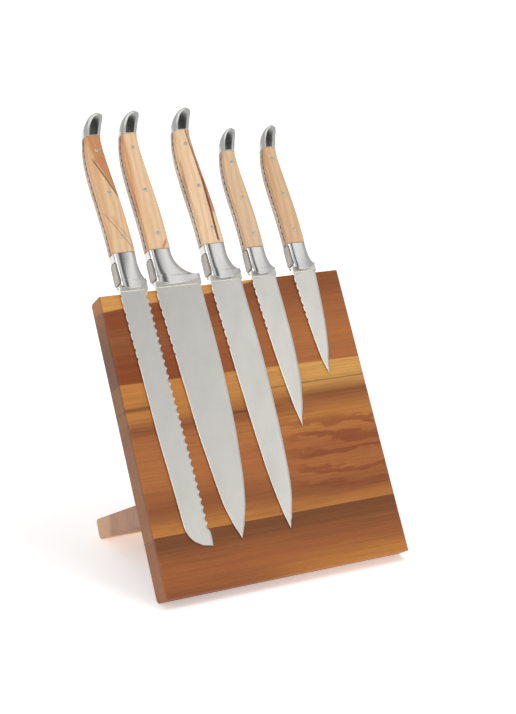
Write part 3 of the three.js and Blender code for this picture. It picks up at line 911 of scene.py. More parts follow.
def deliver(
    piece: bpy.types.Object, material: bpy.types.Material, body: str, slot: str, *nodes: str
) -> bpy.types.Object:
    """Dresses a finished piece and hands it to its body.

    Args:
        piece: the piece, in its place in the row frame.
        material: its finish.
        body: the CAD body that it rides on.
        slot: the record's slot for its finish; not used.
        *nodes: the CAD nodes that it stands for.

    Returns:
        The piece.
    """
    piece.data.materials.clear()
    piece.data.materials.append(material)
    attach(piece, body)
    if nodes:
        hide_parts(*nodes)
    log.info("%s rides on %s, %d faces", piece.name, body, len(piece.data.polygons))
    return piece


# ---------------------------------------------------------------- block and leg


@dataclass
class Block:
    """The leaning board with the magnets that its slots hold."""

    board_edge: float = 0.00045
    rows: tuple[str, ...] = ("top", "middle", "bottom")

    def build(self) -> None:
        """Builds and dresses the block."""
        board = carried_over("block_board", self.board_edge)
        deliver(board, BoardWood().material(), "block", "acacia_board", "block_board")
        strips = PlainAcacia(
            "acacia_cover", PANEL.matrix, ((0.0, "#8f5632"), (0.5, "#a3673b"), (1.0, "#86502f")),
            reach=(-9.0, 3.0), end_from=400.0,
        ).material()
        coat = MagnetCoat().material()
        for row in self.rows:
            cover = carried_over(f"slot_cover_{row}", 0.0002)
            deliver(cover, strips, "block", "acacia_cover", f"slot_cover_{row}")
            magnet = carried_over(f"magnet_bar_{row}", 0.0004)
            deliver(magnet, coat, "block", "magnet", f"magnet_bar_{row}")


@dataclass
class Leg:
    """The folding leg, its two hinges and their screws."""

    axis_gap: float = 0.3
    hinge_height: float = 59.1
    slope: float = math.radians(26.2)
    thickness: float = 17.0
    side_inset: float = 6.0
    hinge_inset: float = 30.0
    screw_radius: float = 2.3
    screw_proud: float = 0.12
    screw_spread: float = 11.0
    screw_rows: tuple[float, ...] = (8.5, 17.0)

    @property
    def half_width(self) -> float:
        """Half the leg's width."""
        return PANEL.width / 2 - self.side_inset

    @property
    def matrix(self) -> Matrix:
        """From the leg's frame to the row frame."""
        return PANEL.at(0, self.axis_gap, self.hinge_height, PANEL.lean - self.slope)

    def build(self) -> None:
        """Builds and dresses the leg and its hinges."""
        leg = carried_over("support_leg", 0.0005)
        wood = PlainAcacia(
            "acacia_leg", self.matrix,
            ((0.0, "#8a6250"), (0.3, "#8d604a"), (0.5, "#a3745a"), (0.7, "#96684f"), (0.78, "#c79c74"),
             (1.0, "#cda57c")),
            reach=(0.0, 113.0), end_from=self.half_width - 0.2, gain=0.84,
        )
        deliver(leg, wood.material(), "leg", "acacia_leg", "support_leg")
        steel = SteelFinish(Steel.HARDWARE, "#b0a894", "#958c7a", 0.3, 1.0, PANEL.matrix).material()
        screw = self.model_screw()
        for side, sign in (("left", -1), ("right", 1)):
            self.hang_side(side, sign * (self.half_width - self.hinge_inset), steel, screw)
        discard(screw)

    def hang_side(self, side: str, x: float, steel: bpy.types.Material, screw: bpy.types.Object) -> None:
        """Builds one hinge: two leaves, a pin and the screws in each leaf.

        Args:
            side: left or right, as in the hinge's name.
            x: the middle of the hinge along the leg's width.
            steel: the hinge's finish.
            screw: the screw that each one is a copy of.
        """
        for part, body in (("board_leaf", "block"), ("leg_leaf", "leg"), ("pin", "leg")):
            node = f"hinge_{side}_{part}"
            deliver(carried_over(node, 0.00015), steel, body, "hinge_steel", node)
        down = PANEL.at(x, 0, self.hinge_height) @ Matrix.Rotation(math.radians(-90), 4, "X")
        under = self.matrix @ Matrix.Translation((x, 0, self.axis_gap)) @ Matrix.Rotation(math.pi, 4, "X")
        for body, seat, way in (("block", down, 1), ("leg", under, -1)):
            for row in self.screw_rows:
                for across in (-self.screw_spread, self.screw_spread):
                    place = seat @ Matrix.Translation((across, way * row, 0))
                    name = f"screw_{side}_{body}_{'ab'[row > self.screw_rows[0]]}{'lr'[across > 0]}"
                    deliver(twin(screw, name, place), steel, body, "hinge_steel")

    def model_screw(self) -> bpy.types.Object:
        """Models a countersunk screw head with a crossed recess, its top facing up."""
        head = rod("screw", self.screw_radius, Vector((0, 0, -1.2)), Vector((0, 0, self.screw_proud)))
        for long, wide in ((1.4, 0.28), (0.28, 1.4)):
            cut(head, bar("slot", Vector((-long, -wide, -0.5)), Vector((long, wide, 1))))
        ease(head, 0.06, 2)
        sound(head, weld=1e-4)
        return head


# ---------------------------------------------------------------- knives


@dataclass(frozen=True)
class Grip:
    """The sizes that the handles of one length share."""

    length: float
    girth: float
    bolster: float


LARGE = Grip(97.0, 1.0, 29.6)
SMALL = Grip(83.2, 0.87, 23.4)


@dataclass(frozen=True)
class Scallops:
    """The waves of a bread knife's edge."""

    count: int = 31
    depth: float = 1.6
    start: float = 0.012
    end: float = 0.942


@dataclass
class Knife:
    """One knife, modelled in its own frame: x from its spine, y to the board, z up from its heel."""

    name: str
    place: float
    heel: float
    length: float
    grip: Grip
    spine: tuple[tuple[float, float], ...]
    edge: tuple[tuple[float, float], ...]
    flare_top: float
    flare_height: float
    wedge: float
    notches: int
    notch_pitch: float
    tilt: float = 0.0
    scallops: Scallops | None = None
    figure: tuple[Streak, ...] = ()
    pale: str = "#e6c093"
    warm: str = "#cf9660"
    spine_warmth: float = 0.6

    above_board: float = 0.8
    blade_gap: float = 0.3
    blade_thickness: float = 2.0
    edge_thickness: float = 0.6
    tang_thickness: float = 3.4
    tang_proud: float = 0.5
    notch_radius: float = 1.3
    notch_depth: float = 0.7
    notch_first: float = 3.0
    rivet_radius: float = 1.5
    rivet_shares: tuple[float, ...] = (0.13, 0.5, 0.87)
    rivet_across: float = 0.56
    ring_points: int = 44
    crown: float = 0.14
    lip_thickness: float = 13.4
    foot_thickness: float = 14.0
    top_thickness: float = 13.6
    tip_thickness: float = 6.5
    swell: float = 1.6

    lip: Curve = Curve([(0, 4.2), (0.3, 0.6), (0.65, 1.4), (1, 5)])
    grip_spine: Curve = Curve(
        [(0, -0.8), (0.2, -1.1), (0.4, -2.2), (0.6, -3.5), (0.74, -3.9), (0.88, -2.9), (1, -0.6)]
    )
    grip_belly: Curve = Curve(
        [(0, 18.2), (0.3, 17.1), (0.5, 15.4), (0.7, 13.4), (0.85, 12.2), (0.95, 11.9), (1, 12.6)]
    )
    cap_spine: Curve = Curve([(-0.6, 0), (1.2, 6.7), (4.6, 13.4), (9, 18.1), (13.8, 20.5)])
    cap_belly: Curve = Curve([(12.6, 0), (14.4, 4.7), (16.4, 9.8), (18.4, 14.1), (19.3, 17.4)])

    # ------------------------------------------------------------ places

    @property
    def body(self) -> str:
        """The CAD body that the knife's pieces ride on."""
        return f"{self.name}_knife"

    @property
    def matrix(self) -> Matrix:
        """From the knife's frame in millimetres to the row frame."""
        depth = PANEL.thickness + self.blade_gap + self.blade_thickness / 2
        return PANEL.at(self.place, -depth, PANEL.height + self.above_board)

    def tilt_at(self, z: float) -> float:
        """How far the handle leans aside at a height."""
        return self.tilt * max(z - self.grip.bolster, 0.0)

    def grip_edges(self, share: float) -> tuple[float, float, float]:
        """The height, the spine side and the belly side of the grip a share of the way up."""
        z = self.grip.bolster + share * self.grip.length
        aside = self.tilt_at(z)
        spine = self.grip_spine.at(share) * self.grip.girth + aside
        return z, spine, self.grip_belly.at(share) * self.grip.girth + aside

    @property
    def neck(self) -> float:
        """The belly side of the handle where the bolster meets the wood."""
        return self.grip_belly.at(0) * self.grip.girth

    # ------------------------------------------------------------ sections of the handle

    def ring(
        self, spine: tuple[float, float], belly: tuple[float, float], thickness: float,
        powers: tuple[float, float],
    ) -> Ring:
        """One squared oval round the handle.

        Args:
            spine: x and z of its point on the spine side.
            belly: x and z of its point on the belly side.
            thickness: from front to back.
            powers: on the spine side and on the belly side, 2 for an ellipse, more for squarer.

        Returns:
            The ring's points.
        """
        points = []
        for across, side in self.oval(powers):
            x, z = lerp(spine[0], belly[0], across), lerp(spine[1], belly[1], across)
            points.append(Vector((x, side * thickness / 2, z)))
        return points

    def oval(self, powers: tuple[float, float]) -> Iterator[tuple[float, float]]:
        """The points of a squared oval: how far across, from 0 to 1, and which side, from -1 to 1."""
        for i in range(self.ring_points):
            angle = (i + 0.5) / self.ring_points * 2 * math.pi
            cosine, sine = math.cos(angle), math.sin(angle)
            power = powers[0] if cosine < 0 else powers[1]
            across = math.copysign(abs(cosine) ** (2 / power), cosine)
            yield (1 + across) / 2, math.copysign(abs(sine) ** (2 / power), sine)

    def bolster_belly(self, z: float) -> float:
        """The belly side of the bolster at a height: a quarter of an ellipse in to the grip."""
        down = clamp((self.flare_top - z) / self.flare_height)
        return self.heel - (self.heel - self.neck) * math.sqrt(1 - down * down)

    def thinning(self, x: float, z: float) -> float:
        """How much of the bolster's thickness is gone at a place: it thins down towards the heel."""
        across = (x - 0.45 * self.neck) / (self.heel - 0.45 * self.neck)
        return self.wedge * smooth(across) * (1 - smooth(z / (self.grip.bolster - 1)))

    def bolster_ring(self, level: float, inset: float = 0.0) -> Ring:
        """One ring of the bolster, which follows the curved lip while it is low.

        Args:
            level: the height of the ring above the heel, before the lip lifts it.
            inset: how far it lies inside the skin.

        Returns:
            The ring's points.
        """
        top = self.grip.bolster
        clear = self.flare_top - self.flare_height
        share = clamp(level / top)
        powers = (lerp(6.0, 5.4, share), lerp(5.5, 4.4, share))
        points = []
        for across, side in self.oval(powers):
            z = level
            for _ in range(4):
                belly = self.bolster_belly(z)
                spine = share * self.grip_spine.at(0) * self.grip.girth
                x = lerp(spine + inset, belly - inset, across)
                z = level + max(0.0, self.lip.at(clamp(x / self.heel))) * max(0.0, 1 - level / clear)
            whole = lerp(self.lip_thickness, self.foot_thickness, clamp(z / top))
            thick = whole * self.grip.girth - 2 * inset
            thick *= (1 - self.thinning(x, z)) * (1 - self.crown * across * across)
            points.append(Vector((x, side * thick / 2, z)))
        return points

    def grip_ring(self, share: float, inset: float = 0.0) -> Ring:
        """One ring of the wooden grip."""
        z, spine, belly = self.grip_edges(share)
        powers = (lerp(5.4, 4.6, share), lerp(4.4, 4.0, min(share * 3, 1)))
        thickness = self.grip_thickness(share) - 2 * inset
        return self.ring((spine + inset, z), (belly - inset, z), thickness, powers)

    def grip_thickness(self, share: float) -> float:
        """The grip's thickness from front to back."""
        ends = lerp(self.foot_thickness, self.top_thickness, share)
        return self.grip.girth * (ends + self.swell * math.sin(math.pi * share))

    def cap_ring(self, share: float) -> Ring:
        """One ring of the curved end cap."""
        foot = self.grip.bolster + self.grip.length
        ends = []
        for curve in (self.cap_spine, self.cap_belly):
            x, z = curve.along(share)
            ends.append((x * self.grip.girth + self.tilt_at(foot + z), foot + z))
        thickness = lerp(self.top_thickness, self.tip_thickness, share**1.5) * self.grip.girth
        return self.ring(ends[0], ends[1], thickness, (lerp(4.6, 3.0, share), lerp(4.0, 2.8, share)))

    # ------------------------------------------------------------ pieces of the handle

    def bolster_levels(self) -> list[float]:
        """The heights of the bolster's rings, close where its flare turns."""
        clear = self.flare_top - self.flare_height
        low = [0.35, 0.9, clear * 0.4, clear * 0.7]
        turns = 14
        angles = [k / turns * math.pi / 2 for k in range(turns + 1)]
        flare = [self.flare_top - self.flare_height * math.cos(angle) for angle in angles]
        top = self.grip.bolster
        return [z for z in low + flare if z < top - 0.4] + [top - 0.3]

    def model_bolster(self) -> bpy.types.Object:
        """Models the polished sleeve, with its curved lip, its flare and the seat of its plate."""
        rings = [self.bolster_ring(0.0, inset=0.35)]
        rings += [self.bolster_ring(level) for level in self.bolster_levels()]
        rings.append(self.bolster_ring(self.grip.bolster, inset=0.25))
        bolster = loft(f"{self.name}_bolster_fine", rings)
        cut(bolster, self.plate_block("seat", margin=0.55, low=-3.0, high=1.0))
        half = self.tang_thickness / 2 + TIGHT
        low, high = Vector((2.4, -half, -1)), Vector((self.neck - 3, half, self.grip.bolster + 1))
        cut(bolster, bar("slot", low, high))
        ease(bolster, 0.12, 2, over=50)
        sound(bolster, smooth_under=40, weld=1e-3)
        return bolster

    def plate_block(self, name: str, margin: float, low: float, high: float) -> bpy.types.Object:
        """A rounded slab the shape of the spine plate, between two depths from the spine's line."""
        half = (13.4 * self.grip.girth - 2.4) / 2 + margin
        bottom, top = 5.5 - margin, min(22.5, self.grip.bolster - 1.2) + margin
        slab = bar(name, Vector((low, -half, bottom)), Vector((high, half, top)))
        round_edges(slab, Vector((1, 0, 0)), 1.6 + margin, 6)
        return slab

    def model_plate(self) -> bpy.types.Object:
        """Models the small plain plate on the spine side of the bolster, with a sunk field."""
        plate = self.plate_block(f"{self.name}_spine_plate_fine", margin=0.0, low=-0.6, high=0.7)
        with editing(plate, "FACE") as mesh:
            for face in mesh.faces:
                face.select = face.normal.x < -0.9
            bmesh.update_edit_mesh(plate.data)
            bpy.ops.mesh.inset(thickness=0.25, depth=0.16)
            bpy.ops.mesh.inset(thickness=0.9, depth=0)
            bpy.ops.mesh.inset(thickness=0.2, depth=-0.18)
        sound(plate, smooth_under=30, weld=1e-3)
        return plate

    def model_scale(self, side: int) -> bpy.types.Object:
        """Models one wooden scale, front (-1) or back (1), drilled for its rivets."""
        steps = 30
        inner = self.tang_thickness / 2 + TIGHT
        rings = [self.grip_ring(0.15 / self.grip.length, inset=0.15)]
        rings += [self.grip_ring(lerp(0.4, self.grip.length - 0.4, k / steps) / self.grip.length)
                  for k in range(steps + 1)]
        rings.append(self.grip_ring(1 - 0.15 / self.grip.length, inset=0.15))
        for ring in rings:
            for point in ring:
                point.y = side * max(side * point.y, inner)
        name = f"{self.name}_scale_{'front' if side < 0 else 'back'}_fine"
        scale = loft(name, rings)
        hole = self.rivet_radius + TIGHT
        cut(scale, *(self.rivet_rod("hole", share, hole, 1.0) for share in self.rivet_shares))
        ease(scale, 0.1, 1, over=60)
        sound(scale, smooth_under=40, weld=1e-3)
        return scale

    def rivet_rod(self, name: str, share: float, radius: float, beyond: float) -> bpy.types.Object:
        """A rod through the grip at a rivet's place, reaching past both faces."""
        z, spine, belly = self.grip_edges(share)
        half = self.grip_thickness(share) / 2 + beyond
        x = lerp(spine, belly, self.rivet_across)
        return rod(name, radius, Vector((x, -half, z)), Vector((x, half, z)))

    def model_rivet(self, number: int, share: float) -> bpy.types.Object:
        """Models one rivet with softly domed ends."""
        rivet = self.rivet_rod(f"{self.name}_rivet_{number}_fine", share, self.rivet_radius, -0.02)
        with editing(rivet, "FACE") as mesh:
            for face in mesh.faces:
                face.select = abs(face.normal.y) > 0.9
            bmesh.update_edit_mesh(rivet.data)
            bpy.ops.mesh.inset(thickness=0.3, depth=0.1, use_individual=True)
            bpy.ops.mesh.inset(thickness=0.5, depth=0.04, use_individual=True)
        sound(rivet, smooth_under=50, weld=1e-3)
        return rivet

    def model_cap(self) -> bpy.types.Object:
        """Models the curved cap with its blunt, rounded beak."""
        steps = 26
        first = self.cap_ring(0.0)
        centre = sum(first, Vector()) / len(first)
        rings = [[centre + (point - centre) * 0.975 for point in first]]
        rings += [self.cap_ring(k / steps) for k in range(steps + 1)]
        last = rings[-1]
        middle = sum(last, Vector()) / len(last)
        onward = Vector((0.66, 0, 0.75))
        for turn in (0.25, 0.5, 0.7, 0.86, 0.96):
            shrink, reach = math.sqrt(1 - turn * turn), 1.5 * turn * self.grip.girth
            rings.append([middle + (point - middle) * shrink + onward * reach for point in last])
        rings[0] = [point + Vector((0, 0, 0.1)) for point in rings[0]]
        for point in rings[1]:
            point.z += 0.3
        cap = loft(f"{self.name}_end_cap_fine", rings)
        sound(cap, smooth_under=50, weld=1e-3)
        return cap

    # ------------------------------------------------------------ blade and tang

    def notch_cut(self, z: float) -> float:
        """How deep the file work on the spine bites at a height below the heel."""
        step = round((-z - self.notch_first) / self.notch_pitch)
        if not 0 <= step < self.notches:
            return 0.0
        off = -z - self.notch_first - step * self.notch_pitch
        inner = self.notch_radius - self.notch_depth
        if abs(off) >= math.sqrt(self.notch_radius**2 - inner**2):
            return 0.0
        return math.sqrt(self.notch_radius**2 - off * off) - inner

    def scallop_cut(self, share: float) -> float:
        """How deep the waves of the edge bite a share of the way down the blade."""
        waves = self.scallops
        if waves is None or not waves.start < share < waves.end:
            return 0.0
        phase = (waves.end - share) / (waves.end - waves.start) * waves.count % 1.0
        return waves.depth * math.sin(math.pi * phase)

    def blade_heights(self) -> list[float]:
        """Where the blade's rings lie: close at the file work, the waves and the tip."""
        plain = [1 - (1 - k / 70) ** 2 for k in range(71)]
        heights = {round(-share * self.length, 3) for share in plain[:-1]}
        reach = math.sqrt(self.notch_radius**2 - (self.notch_radius - self.notch_depth) ** 2)
        turns = (-1.02, -0.98, -0.8, -0.4, 0, 0.4, 0.8, 0.98, 1.02)
        for step in range(self.notches):
            middle = -self.notch_first - step * self.notch_pitch
            heights |= {round(middle + reach * turn, 3) for turn in turns}
        if self.scallops:
            steps = self.scallops.count * 8
            start, end = self.scallops.start, self.scallops.end
            heights |= {round(-lerp(start, end, k / steps) * self.length, 3) for k in range(steps + 1)}
        close = 0.02
        ordered = sorted(heights, reverse=True)
        kept = [z for z, above in zip(ordered[1:], ordered) if above - z > close]
        return [0.0, *kept]

    def blade_ring(self, z: float, spine: Curve, edge: Curve) -> Ring:
        """One section of the blade: flat behind, ground in front, with a fine cutting bevel.

        Args:
            z: its height, below zero.
            spine: where the spine lies, by the share of the length.
            edge: where the edge lies, by the share of the length.

        Returns:
            The ring's points.
        """
        share = -z / self.length
        left = spine.at(share) + self.notch_cut(z)
        right = max(edge.at(share) - self.scallop_cut(share), left + 0.12)
        width = right - left
        widest = max(place[1] for place in self.edge)
        back = self.blade_thickness / 2

        def front(x: float) -> float:
            """The ground front face at a distance from the spine."""
            return -back + (self.blade_thickness - self.edge_thickness) * clamp(x / widest)

        bevel = min(1.5, width * 0.3)
        corner = min(0.22, width * 0.1)
        keen = back - 0.14
        stations = [left + corner, left + width * 0.35, left + width * 0.7, right - bevel]
        stations.sort()
        points = [Vector((left, back - corner, z)), Vector((left, front(left) + corner, z))]
        points += [Vector((x, front(x), z)) for x in stations]
        points += [Vector((right, keen, z)), Vector((right, back, z)), Vector((left + corner, back, z))]
        return points

    def model_blade(self) -> bpy.types.Object:
        """Models the blade from its heel to its tip."""
        spine, edge = Curve(self.spine), Curve(self.edge)
        rings = [self.blade_ring(z, spine, edge) for z in self.blade_heights()]
        blade = loft(f"{self.name}_blade_fine", rings)
        sound(blade, smooth_under=6, weld=1e-3)
        return blade

    def ricasso_ring(self, z: float, thickness: float, inset: float = 0.0) -> Ring:
        """One squared section of the block between blade and bolster."""
        half = thickness / 2
        back = self.blade_thickness / 2
        soft = 0.3
        left, right = inset, self.heel - inset
        front = -half
        rear = max(back, half)
        return [
            Vector((left, rear - soft, z)), Vector((left, front + soft, z)),
            Vector((left + soft, front, z)), Vector((right - soft, front, z)),
            Vector((right, front + soft, z)), Vector((right, rear - soft, z)),
            Vector((right - soft, rear, z)), Vector((left + soft, rear, z)),
        ]

    def model_ricasso(self) -> bpy.types.Object:
        """Models the plain block under the bolster's lip, stepped down to the blade."""
        thick = self.tang_thickness
        rings = [
            self.ricasso_ring(-0.1, self.blade_thickness + 0.1, 0.02),
            self.ricasso_ring(0.1, thick - 0.4, 0.01),
            self.ricasso_ring(0.3, thick),
            self.ricasso_ring(0.9, thick),
        ]
        roof = self.ricasso_ring(0.0, thick)
        for point in roof:
            point.z = self.lip.at(clamp(point.x / self.heel)) + 0.2
        return loft(f"{self.name}_ricasso_fine", [*rings, roof])

    def file_work(self, z: float, side: int) -> float:
        """How deep the decoration of the tang's spine bites on one side at a height."""
        pitch = 5.2
        phase = (z / pitch + (0.5 if side > 0 else 0.0)) % 1.0
        off = abs(phase - 0.5) * pitch
        radius = 1.35
        return 0.85 * math.sqrt(max(0.0, 1 - (off / radius) ** 2))

    def model_tang(self) -> bpy.types.Object:
        """Models the tang between the scales, with file work along its spine."""
        steps = 230
        half = self.tang_thickness / 2
        rings = []
        for k in range(steps + 1):
            share = lerp(0.3, self.grip.length - 0.3, k / steps) / self.grip.length
            z, spine, belly = self.grip_edges(share)
            edge = smooth(min(k, steps - k) / 12)
            front = -half + self.file_work(z, -1) * edge
            rear = half - self.file_work(z, 1) * edge
            left = spine - self.tang_proud
            depth = 1.5
            rings.append([
                Vector((left, rear - 0.15, z)), Vector((left, front + 0.15, z)),
                Vector((left + 0.15, front, z)),
                Vector((left + depth, front, z)), Vector((left + depth + 0.3, -half, z)),
                Vector((belly - 0.15, -half, z)), Vector((belly - 0.15, half, z)),
                Vector((left + depth + 0.3, half, z)), Vector((left + depth, rear, z)),
                Vector((left + 0.15, rear, z)),
            ])
        tang = loft(f"{self.name}_tang_fine", rings)
        sound(tang, smooth_under=30, weld=1e-3)
        return tang

    # ------------------------------------------------------------ finish and hand over

    def build(self, seed: float) -> None:
        """Builds and dresses the knife.

        Args:
            seed: what makes its wood differ from its neighbour's.
        """
        place = self.matrix
        satin = SteelFinish(Steel.SATIN, "#ebe9e2", "#e3e1da", 0.36, 1.0, place).material()
        bright = SteelFinish(Steel.POLISHED, "#dddcda", "#d0cfcc", 0.15, 0.3, place).material()
        # the tang's and the plate's steel is painted a darker grey: partly painted shade of the spine side
        # and of the file-work pits
        filed_and_shaded = SteelFinish(Steel.FILED, "#b9b3ab", "#98918a", 0.42, 1.0, place).material()
        olive = OliveWood(
            f"olive_{self.name}", place, seed, self.pale, self.warm, self.spine_warmth, self.figure
        )
        wood = olive.material()
        name = self.name
        jobs = [
            (self.model_blade(), satin, "satin_blade", [f"{name}_blade"]),
            (self.model_ricasso(), satin, "satin_blade", []),
            (self.model_tang(), filed_and_shaded, "satin_blade", []),
            (self.model_bolster(), bright, "polished_steel", [f"{name}_bolster"]),
            (self.model_plate(), filed_and_shaded, "brushed_plate", [f"{name}_spine_plate"]),
            (self.model_scale(-1), wood, "olive_wood", [f"{name}_scale_front"]),
            (self.model_scale(1), wood, "olive_wood", [f"{name}_scale_back"]),
            (self.model_cap(), bright, "polished_steel", [f"{name}_end_cap"]),
        ]
        for number, share in enumerate(self.rivet_shares, start=1):
            rivet = self.model_rivet(number, share)
            jobs.append((rivet, satin, "polished_steel", [f"{name}_rivet_{number}"]))
        for piece, material, slot, nodes in jobs:
            settle(piece, place)
            deliver(piece, material, self.body, slot, *nodes)


KNIVES = (
    Knife(
        "bread", -87.0, 23.0, 202.0, LARGE,
        spine=((0, 0), (0.37, 3), (0.57, 4.6), (0.77, 7.2), (0.88, 8.4), (0.92, 9.1), (0.95, 11.2),
               (0.975, 15.3), (0.993, 21.5), (1, 29)),
        edge=((0, 23), (0.94, 28.7), (1, 29)),
        flare_top=24, flare_height=16, wedge=0.4, notches=8, notch_pitch=7.2, tilt=-0.012,
        scallops=Scallops(),
        figure=(
            Streak((-2.2, 132), (1.0, 104), 1.6, "#bd7638", 0.8, 1.5, True),
            Streak((1.0, 105), (14.0, 74), 1.2, "#bd7638", 0.85, 1.0, True),
            Streak((-0.5, 106), (13.5, 75), 1.0, "#7f431d", 0.9, 1.0),
            Streak((-0.5, 61), (16, 32), 0.45, "#8a5a30", 0.8, 1.2),
            Streak((3, 60), (17, 36), 0.4, "#9a6a3c", 0.6, 3.0),
            Streak((-3, 128), (4, 100), 1.5, "#c98a50", 0.5, 2.0),
        ),
    ),
    Knife(
        "chef", -57.7, 38.7, 201.0, LARGE,
        spine=((0, 0), (0.37, 4.9), (0.57, 7.7), (0.77, 12), (0.87, 14.9), (0.95, 19.5), (1, 23.4)),
        edge=((0, 38.7), (0.3, 40.4), (0.57, 39.5), (0.77, 36.3), (0.87, 32.9), (0.95, 28.1),
              (0.98, 25.8), (1, 23.4)),
        flare_top=27, flare_height=19, wedge=0.62, notches=8, notch_pitch=7.2,
        pale="#eac59c", warm="#d9a06a", spine_warmth=0.7,
        figure=(
            Streak((11, 30), (15, 36), 1.3, "#b0652f", 0.8, 1.5),
            Streak((-1, 128), (-2, 60), 1.2, "#c9813f", 0.6, 1.5),
        ),
    ),
    Knife(
        "carving", -11.3, 27.4, 200.4, LARGE,
        spine=((0, 0), (0.37, 4), (0.57, 6.7), (0.77, 10), (0.87, 12.8), (0.95, 15.7), (1, 18.2)),
        edge=((0, 27.4), (0.3, 29.9), (0.57, 29.9), (0.77, 28.5), (0.87, 26.2), (0.96, 21.7),
              (0.985, 19.7), (1, 18.2)),
        flare_top=24, flare_height=16, wedge=0.45, notches=8, notch_pitch=7.2, tilt=-0.016,
        pale="#f0cfa6", warm="#d8a06c", spine_warmth=0.25,
        figure=(
            Streak((7.0, 127), (10.5, 55), 1.5, "#b9703a", 0.8, 1.5, True),
            Streak((12.4, 31), (10.6, 84), 1.3, "#6f2f15", 0.97, 2.5),
            Streak((10.8, 80), (6.0, 127), 1.0, "#7c3a1d", 0.9, 2.5),
            Streak((-4, 100), (-2, 40), 0.8, "#8a5a34", 0.5, 3.0),
        ),
    ),
    Knife(
        "utility", 24.5, 22.0, 124.1, SMALL,
        spine=((0, 0), (0.27, 2), (0.52, 4.7), (0.72, 7.4), (0.88, 10.2), (1, 13)),
        edge=((0, 22), (0.2, 22.8), (0.45, 23.2), (0.7, 21.6), (0.84, 18.7), (0.92, 16), (1, 13)),
        flare_top=21, flare_height=15, wedge=0.4, notches=7, notch_pitch=6.6,
        pale="#debc95", warm="#c99a6c", spine_warmth=0.2,
    ),
    Knife(
        "paring", 61.4, 21.0, 85.6, SMALL,
        spine=((0, 0), (0.4, 2.4), (0.65, 4.8), (0.85, 7.1), (1, 10.3)),
        edge=((0, 21), (0.25, 20.2), (0.5, 18.7), (0.75, 15.9), (0.92, 12.4), (1, 10.3)),
        flare_top=21, flare_height=15, wedge=0.4, notches=7, notch_pitch=6.1,
        pale="#dab489", warm="#c38f5e", spine_warmth=0.5,
    ),
)


# ---------------------------------------------------------------- studio


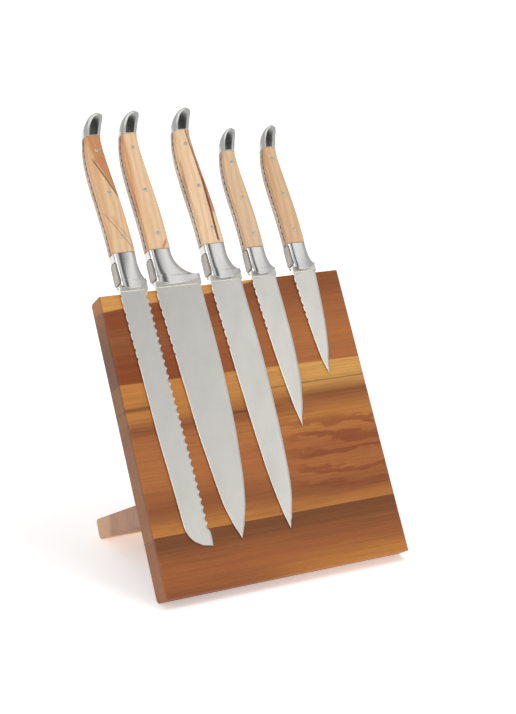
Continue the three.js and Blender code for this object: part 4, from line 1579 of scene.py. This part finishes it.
@dataclass
class Studio:
    """The pale floor, the soft lights and the camera."""

    floor_size: float = 60.0
    floor_colour: str = "#f4f4f4"
    floor_glow: float = 0.65
    near_glow: str = "#cccccc"
    sky: float = 0.56
    flag_grey: float = 0.09
    roof_grey: float = 0.03
    strip_glow: float = 2.6
    panel_glow: float = 1.1
    camera_place: tuple[float, float, float] = (-0.5061, -0.9691, 0.4895)
    camera_down: float = math.radians(16.05)
    camera_aside: float = math.radians(26.61)
    lens: float = 78.15
    long_side: float = 36.0

    def build(self) -> None:
        """Sets up the floor, the lights and the camera."""
        self.lay_floor()
        self.set_sky()
        key = self.hang_light("key", Vector((0.6, -0.5, 1.9)), (0.8, 0.8), 10.0)
        key.visible_glossy = False
        self.hang_light("window", Vector((-1.5, -0.85, 1.0)), (0.45, 1.6), 6.0)
        self.hang_light("top", Vector((0.1, 0.4, 2.2)), (1.6, 1.6), 4.0)
        self.hang_card("panel", Vector((0.95, -1.6, 2.1)), (3.6, 3.4), self.panel_glow)
        self.hang_card("strip", Vector((-1.3, -0.75, 1.15)), (1.4, 2.0), self.strip_glow)
        self.hang_card("flag", Vector((0.44, -0.88, 1.38)), (0.66, 1.4), self.flag_grey)
        self.hang_card("roof", Vector((0.62, -0.38, 1.72)), (1.2, 1.0), self.roof_grey)
        self.place_camera()

    def lay_floor(self) -> None:
        """Lays the floor that the block stands on."""
        deselect()
        bpy.ops.mesh.primitive_plane_add(size=self.floor_size, location=(0, 0, 0))
        floor = bpy.context.object
        floor.name = "floor"
        recipe = Recipe("paper_floor")
        where = recipe.node("ShaderNodeTexCoord", {}, {}, "Object")
        cloud = recipe.node("ShaderNodeTexNoise", {}, {"Vector": where, "Scale": 3.0, "Detail": 2.0})
        colour = recipe.mix(cloud, self.floor_colour, "#f1f1f1")
        distance = recipe.node("ShaderNodeVectorMath", {"operation": "LENGTH"}, {0: where}, "Value")
        glow = recipe.mix(distance.rise(0.35, 1.8), self.near_glow, self.floor_colour)
        floor.data.materials.append(recipe.done(
            Base_Color=colour, Roughness=0.9, Specular_IOR_Level=0.1,
            Emission_Color=glow, Emission_Strength=self.floor_glow,
        ))

    def set_sky(self) -> None:
        """Sets the even light all round."""
        world = bpy.data.worlds.new("soft_sky")
        world.use_nodes = True
        background = world.node_tree.nodes["Background"]
        background.inputs["Color"].default_value = (1.0, 1.0, 1.0, 1.0)
        background.inputs["Strength"].default_value = self.sky
        bpy.context.scene.world = world

    def hang_light(
        self, name: str, place: Vector, size: tuple[float, float], power: float
    ) -> bpy.types.Object:
        """Hangs one soft light, so wide and so tall, that faces the block."""
        light = bpy.data.lights.new(name, "AREA")
        light.shape = "RECTANGLE"
        light.size, light.size_y = size
        light.energy = power
        lamp = bpy.data.objects.new(name, light)
        lamp.location = place
        aim = Vector((0, 0, 0.15)) - place
        lamp.rotation_euler = aim.to_track_quat("-Z", "Y").to_euler()
        bpy.context.scene.collection.objects.link(lamp)
        return lamp

    def hang_card(self, name: str, place: Vector, size: tuple[float, float], glow: float) -> None:
        """Hangs a soft-edged card, dark or bright, that shows only as a reflection."""
        deselect()
        aim = Vector((0, 0, 0.25)) - place
        turn = aim.to_track_quat("Z", "Y").to_euler()
        bpy.ops.mesh.primitive_plane_add(size=1, location=place, rotation=turn)
        card = bpy.context.object
        card.name = name
        card.scale = (*size, 1)
        recipe = Recipe(f"{name}_card")
        where = recipe.node("ShaderNodeTexCoord", {}, {}, "Object")
        x, y = (recipe.node("ShaderNodeSeparateXYZ", {}, {0: where}, axis) for axis in range(2))
        faint = abs(x).rise(0.12, 0.5).higher(abs(y).rise(0.36, 0.5))
        card.data.materials.append(recipe.done(
            Base_Color="#000000", Specular_IOR_Level=0.0, Alpha=1 - faint,
            Emission_Color="#ffffff", Emission_Strength=glow,
        ))
        for ray in ("camera", "diffuse", "shadow", "transmission", "volume_scatter"):
            setattr(card, f"visible_{ray}", False)

    def place_camera(self) -> None:
        """Places the camera."""
        lens = bpy.data.cameras.new("camera")
        lens.lens = self.lens
        lens.sensor_width = self.long_side
        lens.clip_end = 200.0
        camera = bpy.data.objects.new("camera", lens)
        camera.location = self.camera_place
        camera.rotation_euler = (math.pi / 2 - self.camera_down, 0.0, -self.camera_aside)
        bpy.context.scene.collection.objects.link(camera)
        bpy.context.scene.camera = camera


# ---------------------------------------------------------------- main


def main() -> None:
    """Builds every sub-assembly, then the studio, and sets the view transform."""
    logging.basicConfig(level=logging.INFO, format="%(name)s: %(message)s")
    Block().build()
    Leg().build()
    for number, knife in enumerate(KNIVES):
        knife.build(seed=3.7 * number)
    Studio().build()
    bpy.context.scene.view_settings.view_transform = "Standard"


if __name__ == "__main__":
    main()
